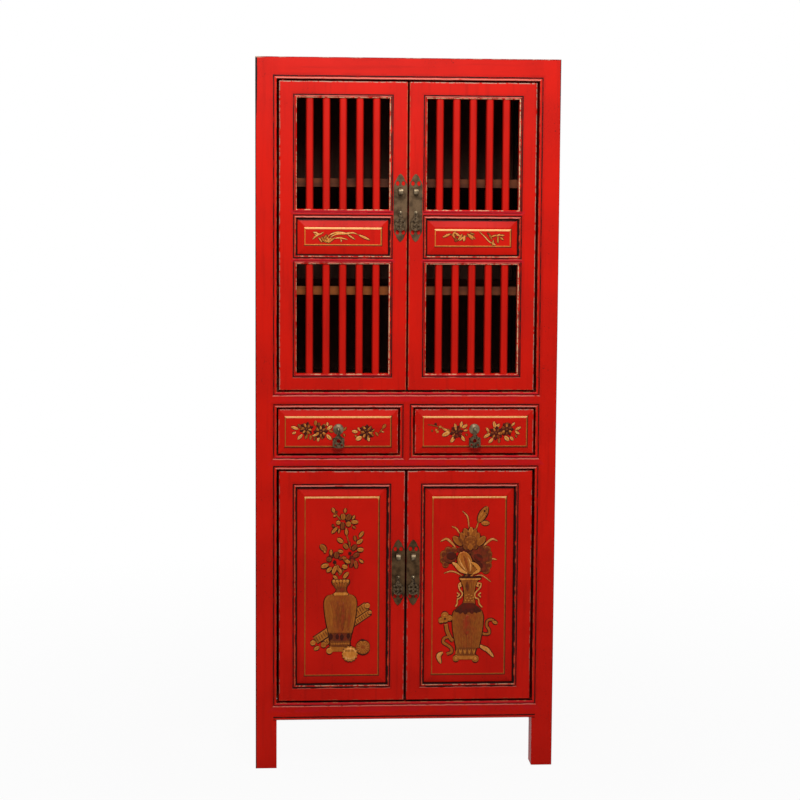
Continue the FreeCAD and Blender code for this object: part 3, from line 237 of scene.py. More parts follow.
def lacquerMaterial(name, edges=(), outerEdge=False, darkInside=False, upright=True, depth=0.0, slats=None):
    material, tree, shader = newMaterial(name)
    place = addNode(tree, "ShaderNodeTexCoord").outputs["Object"]
    axes = addNode(tree, "ShaderNodeSeparateXYZ", {0: place})
    absX = calc(tree, "ABSOLUTE", axes.outputs[0])
    z = axes.outputs[2]

    grain, along = lacquer["grain"], lacquer["grainAlong"]
    broad = noise(tree, place, lacquer["cloudScale"], 4.0)
    streaks = noise(tree, place, 1.0, 3.0, (grain, grain, along) if upright else (along, grain, grain))
    rub = noise(tree, place, lacquer["rubScale"], 6.0)
    dots = between(tree, noise(tree, place, lacquer["dotScale"], 3.0), 0.36, 0.52)
    wobble = calc(tree, "MULTIPLY", calc(tree, "SUBTRACT", rub, 0.5), lacquer["wobble"])
    fine = noise(tree, place, lacquer["fineScale"], 2.0)
    colour = mixColour(tree, between(tree, broad, 0.3, 0.75), lacquer["red"], lacquer["redDeep"])
    streakFactor = calc(tree, "ADD", calc(tree, "MULTIPLY", between(tree, streaks, 0.5, 0.8), 0.3), depth)
    colour = mixColour(tree, streakFactor, colour, lacquer["redDark"])
    # painted shade: darker in crevices, gaps and corners, from ambient occlusion
    shade = addNode(tree, "ShaderNodeAmbientOcclusion", {"Distance": lacquer["creviceShade"]}, samples=8)
    creviceShade = between(tree, shade.outputs["AO"], 0.75, 0.3)
    colour = mixColour(tree, calc(tree, "MULTIPLY", creviceShade, 0.9), colour, lacquer["grimeAndShade"])

    worn = None
    for rect, lines, depthBack in edges:          # lines reach back only so far from the front
        zones = edgeZones(tree, axes, wobble, rect)
        limit = postFront + depthBack * mm
        front = between(tree, axes.outputs[1], limit + 2 * mm, limit)
        for line in lines:
            mask = calc(tree, "MULTIPLY", wearAndLightLine(tree, zones, line, rub), front)
            bare = line[3] in ("cream", "tan", "bone")
            if bare:
                mask = calc(tree, "MULTIPLY", mask, dots)
            colour = mixColour(tree, mask, colour, lacquer[line[3]])
            if bare:
                worn = mask if worn is None else calc(tree, "MAXIMUM", worn, mask)
    flecks = calc(tree, "MULTIPLY", between(tree, fine, 0.68, 0.74), between(tree, broad, 0.48, 0.6))
    colour = mixColour(tree, flecks, colour, lacquer["fleck"])

    if outerEdge:          # painted shade: a ragged dark strip along the corner posts' outer edges, wider on the left and near the top; the upper left corner is rubbed to bone
        left = calc(tree, "ADD", axes.outputs[0], halfWidth)
        right = calc(tree, "MULTIPLY", calc(tree, "SUBTRACT", halfWidth, axes.outputs[0]), 2.2)
        edge = calc(tree, "MINIMUM", left, right)
        height = calc(tree, "MULTIPLY", between(tree, z, topRail[1].z - 0.22, topRail[1].z - 0.05), 3.0 * mm)
        reach = calc(tree, "ADD", height, calc(tree, "MULTIPLY", rub, 2.6 * mm))
        raggedShade = between(tree, calc(tree, "SUBTRACT", edge, reach), 1.2 * mm, 0.4 * mm)
        front = between(tree, axes.outputs[1], postFront + 5 * mm, postFront + 3 * mm)
        colour = mixColour(tree, calc(tree, "MULTIPLY", raggedShade, front), colour, lacquer["grimeAndShade"])
        upper = between(tree, z, topRail[1].z - 4 * mm, topRail[1].z - 2 * mm)
        corner = calc(tree, "MULTIPLY", between(tree, left, 30 * mm, 4 * mm), upper)
        colour = mixColour(tree, calc(tree, "MULTIPLY", corner, front), colour, lacquer["bone"])
    if slats:          # painted shade along both edges of each slat, where a rounded slat would turn from the light
        first, pitch, half = slats
        step = calc(tree, "DIVIDE", calc(tree, "SUBTRACT", absX, first), pitch)
        away = calc(tree, "ABSOLUTE", calc(tree, "SUBTRACT", step, calc(tree, "ROUND", step)))
        edgeShade = between(tree, calc(tree, "MULTIPLY", away, pitch), half * 0.5, half * 1.05)
        colour = mixColour(tree, calc(tree, "MULTIPLY", edgeShade, 0.85), colour, lacquer["redDark"])
    if darkInside:          # inner faces and the rear are bare dark wood
        inner = between(tree, absX, halfWidth - 14.2 * mm, halfWidth - 15 * mm)
        deep = between(tree, axes.outputs[1], postFront + 30 * mm, postFront + 44 * mm)
        rear = between(tree, axes.outputs[1], rearFace - 2 * mm, rearFace - 1 * mm)
        underTop = between(tree, z, topRail[1].z - 2 * mm, topRail[1].z - 4 * mm)
        overLegs = between(tree, z, bottomRail[0].z - 2 * mm, bottomRail[0].z)
        enclosed = calc(tree, "MULTIPLY", underTop, overLegs)
        bare = calc(tree, "MULTIPLY", calc(tree, "MULTIPLY", inner, deep), enclosed)
        dark = mixColour(tree, between(tree, streaks, 0.3, 0.72), lacquer["inside"], lacquer["insideLight"])
        colour = mixColour(tree, calc(tree, "MAXIMUM", bare, rear), colour, dark)

    roughness = addNode(tree, "ShaderNodeMapRange", {0: broad, 1: 0.3, 2: 0.7, 3: lacquer["roughness"] - 0.05,
                                                     4: lacquer["roughness"] + 0.09}).outputs[0]
    if worn:
        roughness = calc(tree, "ADD", roughness, calc(tree, "MULTIPLY", worn, 0.25))
    bumpHeight = calc(tree, "ADD", calc(tree, "MULTIPLY", streaks, 0.6), calc(tree, "MULTIPLY", fine, 0.25))
    finishSurface(tree, shader, colour, roughness, lacquer["sheen"], bumpHeight, lacquer["bump"])
    return material


bareWood = {"sheen": 0.12, "bump": (0.35, 0.6)}
timber = {"dark": (0.10, 0.042, 0.028, 1), "light": (0.18, 0.080, 0.052, 1), "roughness": 0.65}
shelfTimber = {"dark": (0.075, 0.018, 0.004, 1), "light": (0.26, 0.070, 0.013, 1), "roughness": 0.6,
               "dimDark": (0.044, 0.012, 0.006, 1), "dimLight": (0.088, 0.024, 0.012, 1)}
drawerTimber = {"dark": (0.20, 0.11, 0.045, 1), "light": (0.40, 0.24, 0.11, 1), "roughness": 0.6}


def timberMaterial(name, tones, stretch=(3, 45, 45), edges=None):
    material, tree, shader = newMaterial(name)
    place = addNode(tree, "ShaderNodeTexCoord").outputs["Object"]
    grain = noise(tree, place, 1.0, 6.0, stretch)
    cloud = noise(tree, place, 6.0, 3.0)
    tone = calc(tree, "ADD", calc(tree, "MULTIPLY", grain, 0.75), calc(tree, "MULTIPLY", cloud, 0.25))
    grown = between(tree, tone, 0.32, 0.68)
    colour = mixColour(tree, grown, tones["dark"], tones["light"])
    if edges:          # the shelves are darker behind their front edges; the darker upper shelf and right side are painted shade
        edgePlace, darkFrom = edges
        axes = addNode(tree, "ShaderNodeSeparateXYZ", {0: place})
        behind = between(tree, axes.outputs[1], edgePlace + 1 * mm, edgePlace + 3 * mm)
        higher = calc(tree, "MULTIPLY", between(tree, axes.outputs[2], darkFrom - 0.05, darkFrom + 0.05), 0.7)
        rightward = calc(tree, "MULTIPLY", between(tree, axes.outputs[0], -0.08, 0.1), 0.75)
        bare = mixColour(tree, grown, tones["dimDark"], tones["dimLight"])
        dimShare = calc(tree, "MAXIMUM", behind, calc(tree, "MAXIMUM", higher, rightward))
        colour = mixColour(tree, dimShare, colour, bare)
    finishSurface(tree, shader, colour, tones["roughness"], bareWood["sheen"], grain, bareWood["bump"])
    return material


castMetal = {"sheen": 0.15, "bump": (0.25, 0.4), "metallic": 0.75, "pitScale": 420.0, "creviceShade": 6 * mm}
brass = {"dark": (0.045, 0.027, 0.014, 1), "light": (0.115, 0.070, 0.037, 1),
         "pitAndShade": (0.014, 0.009, 0.006, 1), "roughness": 0.46, "grain": 60.0}
# a darker, browner copy of the brass for the lower doors' plates: painted shade, as they sit lower and get
# less light
shadedBrass = {"dark": (0.036, 0.019, 0.008, 1), "light": (0.095, 0.052, 0.023, 1),
              "pitAndShade": (0.012, 0.007, 0.004, 1), "roughness": 0.46, "grain": 60.0}
pullBrass = {"dark": (0.010, 0.006, 0.004, 1), "light": (0.115, 0.076, 0.042, 1),
             "pitAndShade": (0.006, 0.004, 0.003, 1), "roughness": 0.42, "grain": 190.0}
rubbedBrass = {"dark": (0.085, 0.056, 0.031, 1), "light": (0.22, 0.165, 0.10, 1),
               "pitAndShade": (0.02, 0.013, 0.008, 1), "roughness": 0.40, "grain": 60.0}


def brassMaterial(name, tones):
    material, tree, shader = newMaterial(name)
    place = addNode(tree, "ShaderNodeTexCoord").outputs["Object"]
    cloud = noise(tree, place, tones["grain"], 5.0)
    pits = noise(tree, place, castMetal["pitScale"], 3.0)
    colour = mixColour(tree, between(tree, cloud, 0.35, 0.7), tones["light"], tones["dark"])
    pitted = calc(tree, "MULTIPLY", between(tree, pits, 0.6, 0.75), 0.6)
    colour = mixColour(tree, pitted, colour, tones["pitAndShade"])
    # painted shade: darker in crevices and round the pulls and staples that stand off the plates
    shade = addNode(tree, "ShaderNodeAmbientOcclusion", {"Distance": castMetal["creviceShade"]}, samples=8)
    creviceShade = between(tree, shade.outputs["AO"], 0.8, 0.35)
    colour = mixColour(tree, calc(tree, "MULTIPLY", creviceShade, 0.9), colour, tones["pitAndShade"])
    roughness = addNode(tree, "ShaderNodeMapRange", {0: cloud, 1: 0.3, 2: 0.7, 3: tones["roughness"] - 0.08,
                                                     4: tones["roughness"] + 0.12}).outputs[0]
    finishSurface(tree, shader, colour, roughness, castMetal["sheen"], pits, castMetal["bump"])
    shader.inputs["Metallic"].default_value = castMetal["metallic"]
    return material


# Gilt paint: each point of a painted piece has a tone, from dark outline to bright gold, and a blush of red

gilt = {
    "stops": ((0.0, (0.040, 0.004, 0.001, 1)), (0.2, (0.085, 0.017, 0.005, 1)),
              (0.4, (0.21, 0.050, 0.007, 1)), (0.6, (0.40, 0.112, 0.012, 1)),
              (0.8, (0.64, 0.225, 0.032, 1)), (1.0, (0.95, 0.48, 0.18, 1))),
    "blush": (0.36, 0.022, 0.008, 1), "roughness": 0.45, "sheen": 0.12, "bump": (0.3, 0.3),
    "brush": (330, 330, 90), "patchScale": 60.0, "metallic": 0.2,
}


def giltMaterial(name):
    material, tree, shader = newMaterial(name)
    place = addNode(tree, "ShaderNodeTexCoord").outputs["Object"]
    tone = addNode(tree, "ShaderNodeAttribute", attribute_name="tone").outputs["Fac"]
    blush = addNode(tree, "ShaderNodeAttribute", attribute_name="blush").outputs["Fac"]
    brush = noise(tree, place, 1.0, 4.0, gilt["brush"])
    patches = noise(tree, place, gilt["patchScale"], 3.0)
    shift = calc(tree, "MULTIPLY", calc(tree, "SUBTRACT", brush, 0.5), 0.42)
    shift = calc(tree, "MULTIPLY", shift, between(tree, tone, 0.05, 0.3))
    ramp = addNode(tree, "ShaderNodeValToRGB", {0: calc(tree, "ADD", tone, shift, clamp=True)})
    while len(ramp.color_ramp.elements) < len(gilt["stops"]):
        ramp.color_ramp.elements.new(0.5)
    for element, (position, colour) in zip(ramp.color_ramp.elements, gilt["stops"]):
        element.position = position
        element.color = colour
    redness = calc(tree, "MULTIPLY", blush, between(tree, patches, 0.25, 0.65))
    colour = mixColour(tree, redness, ramp.outputs[0], gilt["blush"])
    finishSurface(tree, shader, colour, gilt["roughness"], gilt["sheen"], brush, gilt["bump"])
    metallic = calc(tree, "MULTIPLY", between(tree, tone, 0.3, 0.9), gilt["metallic"])
    tree.links.new(metallic, shader.inputs["Metallic"])
    return material


outline = (-halfWidth, halfWidth, -1.0, topRail[1].z)
openings = tuple((rect, openingLines, 14) for rect in (upperOpening, drawerOpening, lowerOpening))
carcassEdges = openings + ((outline, outlineLines, 3),)
slatWidth = 20 * mm
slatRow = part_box("upper_right_door_slats")
slatPitch = (slatRow[1].x - slatRow[0].x - slatWidth) / 4
carcassRed = lacquerMaterial("carcassLacquer", carcassEdges, outerEdge=True, darkInside=True)
railEdges = carcassEdges + ((legOpening, legLines, 12),)
railRed = lacquerMaterial("railLacquer", railEdges, upright=False, depth=0.06)
rearRed = lacquerMaterial("rearLacquer", darkInside=True, upright=False)
upperDoorRed = lacquerMaterial("upperDoorLacquer", (
    (upperDoor, upperRimLines, 6), (upperLattice, latticeLines, 12), (lowerLattice, latticeLines, 12),
    (smallPanel, smallPanelLines, 14)))
lowerDoorRed = lacquerMaterial("lowerDoorLacquer", ((lowerDoor, rimLines, 6), (largePanel, panelLines, 14)))
panelEdges = ((smallPanel, fieldLines, 18), (largePanel, fieldLines, 18))
panelRed = lacquerMaterial("panelLacquer", panelEdges, depth=0.02)
drawerRed = lacquerMaterial("drawerLacquer", ((drawerFace, rimLines, 6),), upright=False)
slatRows = (slatRow[0].x + slatWidth / 2, slatPitch, slatWidth / 2)
slatRed = lacquerMaterial("slatLacquer", slats=slatRows, depth=0.15)
innerTimber = timberMaterial("innerTimber", timber)
backTimber = timberMaterial("backTimber", timber, (45, 45, 3))
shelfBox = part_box("shelves")
shelfMiddle = (shelfBox[0].z + shelfBox[1].z) / 2
shelfBoard = timberMaterial("shelfTimber", shelfTimber, edges=(shelfBox[0].y, shelfMiddle))
drawerBoard = timberMaterial("drawerTimber", drawerTimber)
agedBrass = brassMaterial("agedBrass", brass)
shadedLowerBrass = brassMaterial("shadedBrass", shadedBrass)
darkBrass = brassMaterial("pullBrass", pullBrass)
brightBrass = brassMaterial("rubbedBrass", rubbedBrass)
giltPaint = giltMaterial("giltPaint")
print("materials made:", len(bpy.data.materials))


def nodeMaterial(name):
    if name.endswith(("lock_fittings", "rosette")):
        return brightBrass
    if name.endswith("pull"):
        return darkBrass
    if name.endswith("lock_plate"):
        return shadedLowerBrass if name.startswith("lower_") else agedBrass
    if name.endswith("_slats"):
        return slatRed
    if name.startswith("upper_"):
        return panelRed if name.endswith("_panel") else upperDoorRed
    if name.startswith("lower_"):
        return panelRed if name.endswith("_panel") else lowerDoorRed
    if name in ("shelves", "shelf_cleats"):
        return shelfBoard
    if name.endswith("_drawer_box"):
        return drawerBoard
    if name in ("drawer_runners", "cupboard_floor", "base_board", "top_battens"):
        return innerTimber
    if name == "back_panels":
        return backTimber
    if name.endswith("drawer_front"):
        return drawerRed
    if name.startswith("rear_") and "rail" in name:
        return rearRed
    if name.endswith("_rail") or name == "top_panel":
        return railRed
    return carcassRed


for name, piece in nodes.items():
    piece.data.materials.clear()
    piece.data.materials.append(nodeMaterial(name))
print("frame dressed")


# Painted ornament: every stroke is a flat closed band, an ellipse of changing width carried along a path

def curveThrough(points, count=24):          # smooth curve through a few points, as a Hermite blend
    points = np.asarray(points, float)
    slopes = np.gradient(points, axis=0)
    steps = np.linspace(0, len(points) - 1, count)
    index = np.minimum(steps.astype(int), len(points) - 2)
    part = (steps - index)[:, None]
    a, b = points[index], points[index + 1]
    return ((2 * part**3 - 3 * part**2 + 1) * a + (part**3 - 2 * part**2 + part) * slopes[index]
            + (3 * part**2 - 2 * part**3) * b + (part**3 - part**2) * slopes[index + 1])


paint = {"layer": 0.12 * mm, "order": 0.004 * mm, "crown": 0.35 * mm, "rim": 0.12 * mm, "vase": 0.6 * mm}


def giltPiece(name, body, points, faces, tone, blush, smooth):
    mesh = bpy.data.meshes.new(name)
    mesh.from_pydata(points.tolist(), [], faces)
    for label, values in (("tone", tone), ("blush", blush)):
        mesh.attributes.new(label, "FLOAT", "POINT").data.foreach_set("value", values)
    if smooth:
        mesh.shade_smooth()
    mesh.materials.append(giltPaint)
    piece = bpy.data.objects.new(name, mesh)
    scene.collection.objects.link(piece)
    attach(piece, body)
    print("painted", name, len(faces), "faces")


# Gathers strokes in drawing units and makes them one mesh on a panel. The units run right and down. They are
# the pixels of enlarged crops of the photograph, in which the strokes' places were read.
class Painting:
    def __init__(self, name, body, size, rect, plane):
        self.name = name
        self.body = body
        self.unit = np.array(((rect[1] - rect[0]) / size[0], (rect[2] - rect[3]) / size[1]))
        self.corner = np.array((rect[0], rect[3]))
        self.plane = plane
        self.points = []
        self.faces = []
        self.tones = []
        self.blushes = []
        self.total = 0
        self.group((0, 0))

    def group(self, shift, scale=1.0):          # the strokes that follow are drawn on a sheet of their own
        self.shift = np.array(shift, float)
        self.scale = scale

    def band(self, path, halfWidth, tone, blush=0.0, layer=1, height=paint["crown"], sides=10, spread=0.0,
             core=0.0):
        # ring points: path + across * half width * cos(a), raised from the panel by height * sin(a)
        path = (np.asarray(path, float) * self.scale + self.shift) * self.unit + self.corner
        halfWidth = np.asarray(halfWidth, float) * self.scale * self.unit[0] + spread
        halfWidth = np.broadcast_to(halfWidth, len(path))
        along = np.gradient(path, axis=0)
        along /= np.maximum(np.linalg.norm(along, axis=1, keepdims=True), 1e-9)
        across = np.stack((-along[:, 1], along[:, 0]), axis=1)
        angle = np.linspace(0, 2 * np.pi, sides, endpoint=False)
        crown = np.maximum(np.sin(angle), 0)
        reach = halfWidth[:, None] * np.cos(angle)
        lift = layer * paint["layer"] + len(self.points) * paint["order"]
        rise = lift + height * np.maximum(np.sin(angle), -0.2)
        rings = np.empty((len(path), sides, 3))
        rings[:, :, 0] = path[:, None, 0] + across[:, None, 0] * reach
        rings[:, :, 2] = path[:, None, 1] + across[:, None, 1] * reach
        rings[:, :, 1] = self.plane - rise
        count = len(path)
        ring = np.arange(sides)
        nextRing = np.roll(ring, -1)
        start = self.total + np.arange(count - 1)[:, None] * sides
        after = start + sides
        quads = np.stack((start + ring, start + nextRing, after + nextRing, after + ring), axis=2)
        self.faces += quads.reshape(-1, 4).tolist()
        self.faces.append((self.total + ring[::-1]).tolist())
        self.faces.append((self.total + (count - 1) * sides + ring).tolist())
        self.points.append(rings.reshape(-1, 3))
        self.tones.append(np.tile(tone - core * crown**2, count))
        self.blushes.append(np.tile(blush * crown**2, count))
        self.total += count * sides

    def stroke(self, path, halfWidth, tone, blush=0.0, layer=1, outline=1.9, **shape):
        # a dark band that is wider by the outline, in mm, lies under each stroke
        if outline:
            self.band(path, halfWidth, 0.03, 0.0, layer, paint["rim"], spread=outline * mm)
        self.band(path, halfWidth, tone, blush, layer, **shape)

    def petal(self, base, tip, width, tone, blush=0.0, layer=2, pointed=0.0, outline=1.9, core=0.22):
        # half width follows a half ellipse, or a sine where the petal is pointed
        base, tip = np.asarray(base, float), np.asarray(tip, float)
        share = np.linspace(0.015, 0.985, 13)
        path = base + (tip - base) * share[:, None]
        oval = np.sqrt(1 - (2 * share - 1) ** 2)
        leaf = np.sin(np.pi * share)
        half = width / 2 * (oval * (1 - pointed) + leaf * pointed)
        self.stroke(path, half, tone, blush, layer, outline, core=core)

    def petals(self, rows, layer=2, pointed=0.2, slim=1.0, lift=0.0, **shape):
        # rows: (base, tip, width, tone, blush), with all widths slimmed and all tones lifted alike
        for base, tip, width, tone, blush in rows:
            self.petal(base, tip, width * slim, min(tone + lift, 1.0), blush, layer, pointed, **shape)

    def blossom(self, centre, radius, count, tones, blush, turn=0.0):
        # thin petals on a circle round a dark heart, with the tones taken in turn
        for index in range(count):
            angle = turn + 2 * np.pi * index / count
            way = np.array((np.cos(angle), np.sin(angle)))
            reach = radius * (1.0 if index % 2 else 0.8)
            tone = tones[index % len(tones)]
            base, tip = centre + way * radius * 0.2, centre + way * reach
            self.petal(base, tip, radius * 0.26, tone, blush, 4, 0.5, 1.3)

    def disc(self, centre, radius, tone, blush=0.0, layer=2, outline=1.9, core=0.15):
        left, right = np.asarray(centre, float) + ((-radius, 0), (radius, 0))
        self.petal(left, right, radius * 2, tone, blush, layer, 0.0, outline, core)

    def blade(self, points, half, tone, blush=0.0, layer=2, outline=0.9):          # thin, with tapered ends
        taper = np.sin(np.pi * np.linspace(0.06, 0.94, 24)) ** 0.7
        self.stroke(curveThrough(points), half * taper, tone, blush, layer, outline)

    def vase(self, axis, profile, tone, blush=0.0, layer=3, count=40, outline=1.9, core=0.1):
        # profile: (height on the sheet, half width), smoothed into one outline
        profile = curveThrough(profile, count)
        path = np.stack((np.full(count, axis), profile[:, 0]), axis=1)
        half = np.maximum(profile[:, 1], 0.5)
        self.stroke(path, half, tone, blush, layer, outline, sides=24, height=paint["vase"], core=core)

    def build(self):
        points, tone, blush = (np.concatenate(rows) for rows in (self.points, self.tones, self.blushes))
        giltPiece(self.name, self.body, points, self.faces, tone, blush, True)


# Insets from the panel's or drawer's edges, in mm: left, right, bottom, top
goldLine = {
    "half": 1.2 * mm, "topHalf": 2.3 * mm, "shadow": 2.3 * mm, "height": 0.5 * mm, "steps": 60,
    "lowerLeft": (23.4, 23.4, 25.4, 27.6), "lowerRight": (23.0, 24.2, 25.4, 28.4),
    "upperLeft": (21.8, 20.8, 27.0, 26.0), "upperRight": (23.2, 20.8, 25.0, 29.0),
    "leftDrawer": (18.8, 20.4, 20.0, 21.4), "rightDrawer": (22.8, 19.4, 20.0, 21.4),
}


def goldFrame(name, body, rect, plane, sideTone):
    # a closed band round a rectangle, mitred at the corners, with a painted shadow as a dark rim outside on
    # the right and below, and a painted highlight on the top line
    steps = goldLine["steps"]
    section = np.array(((-1, -2), (1, -2), (1, 0.3), (1, 0.35), (1, 0.6), (0.55, 1), (-0.55, 1), (-1, 0.55)))
    dark = np.array((0, 1, 1, 0.6, 0, 0, 0, 0))
    corners = np.array(((rect[0], rect[2]), (rect[1], rect[2]), (rect[1], rect[3]), (rect[0], rect[3])))
    share = np.linspace(0, 1, steps, endpoint=False)[:, None]
    points = np.concatenate([a + (b - a) * share for a, b in zip(corners, np.roll(corners, -1, axis=0))])
    normals = np.repeat(np.array(((0, -1), (1, 0), (0, 1), (-1, 0)), float), steps, axis=0)
    normals[::steps] = ((-1, -1), (1, -1), (1, 1), (-1, 1))
    upper = normals[:, 1:] > 0.5
    shaded = (normals[:, :1] > 0.5) | (normals[:, 1:] < -0.5)
    reach = np.where(upper, goldLine["topHalf"], goldLine["half"]) * section[:, 0]
    reach = reach + np.where(shaded, goldLine["shadow"], 0.1 * mm) * (dark > 0.9)
    rings = np.empty((len(points), len(section), 3))
    rings[:, :, 0] = points[:, None, 0] + normals[:, None, 0] * reach
    rings[:, :, 2] = points[:, None, 1] + normals[:, None, 1] * reach
    rings[:, :, 1] = plane - goldLine["height"] * section[:, 1]
    count, sides = len(points), len(section)
    ring = np.arange(sides)
    start = np.arange(count)[:, None] * sides
    after = np.roll(start, -1, axis=0)
    nextRing = np.roll(ring, -1)
    quads = np.stack((start + ring, after + ring, after + nextRing, start + nextRing), axis=2).reshape(-1, 4)
    # the top line is lifted in tone as a painted highlight; the shaded rim is painted shadow
    bright = np.where(upper, min(sideTone + 0.38, 1.0), sideTone)
    tone = bright - dark * np.where(shaded, bright - 0.03, 0.15)
    blush = np.broadcast_to(np.where(upper, 0.04, 0.25), (count, sides)).ravel()
    giltPiece(name, body, rings.reshape(-1, 3), quads.tolist(), tone.ravel(), blush, False)


def lineRect(rect, place):
    left, right, bottom, top = (inset * mm for inset in goldLine[place])
    return (rect[0] + left, rect[1] - right, rect[2] + bottom, rect[3] - top)


lowerLeftLine = lineRect(panelOpening("lower_left_door_panel"), "lowerLeft")
lowerRightLine = lineRect(panelOpening("lower_right_door_panel"), "lowerRight")
upperLeftLine = lineRect(panelOpening("upper_left_door_panel"), "upperLeft")
upperRightLine = lineRect(panelOpening("upper_right_door_panel"), "upperRight")
leftDrawerLine = lineRect(nodeRect("left_drawer_front"), "leftDrawer")
rightDrawerLine = lineRect(nodeRect("right_drawer_front"), "rightDrawer")
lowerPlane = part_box("lower_left_door_panel")[0].y
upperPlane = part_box("upper_left_door_panel")[0].y
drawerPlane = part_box("left_drawer_front")[0].y
for name, body, rect, plane, sideTone in (
    ("lower_left_gold_line", "lower_left_door", lowerLeftLine, lowerPlane, 0.56),
    ("lower_right_gold_line", "lower_right_door", lowerRightLine, lowerPlane, 0.56),
    ("upper_left_gold_line", "upper_left_door", upperLeftLine, upperPlane, 0.76),
    ("upper_right_gold_line", "upper_right_door", upperRightLine, upperPlane, 0.76),
    ("left_drawer_gold_line", "left_drawer", leftDrawerLine, drawerPlane, 0.6),
    ("right_drawer_gold_line", "right_drawer", rightDrawerLine, drawerPlane, 0.6),
):
    goldFrame(name, body, rect, plane, sideTone)
print("gold lines drawn")


# Left lower door: a vase of blossoms, with two rolls and two fruits

bright, light, gold, brown, dark = 0.95, 0.84, 0.7, 0.52, 0.18          # tones of the gilt paint
flowerVase = {"size": (1023, 2478), "vaseSheet": ((-7, 944), 1.27), "flowerSheet": ((63, -36), 1.0)}


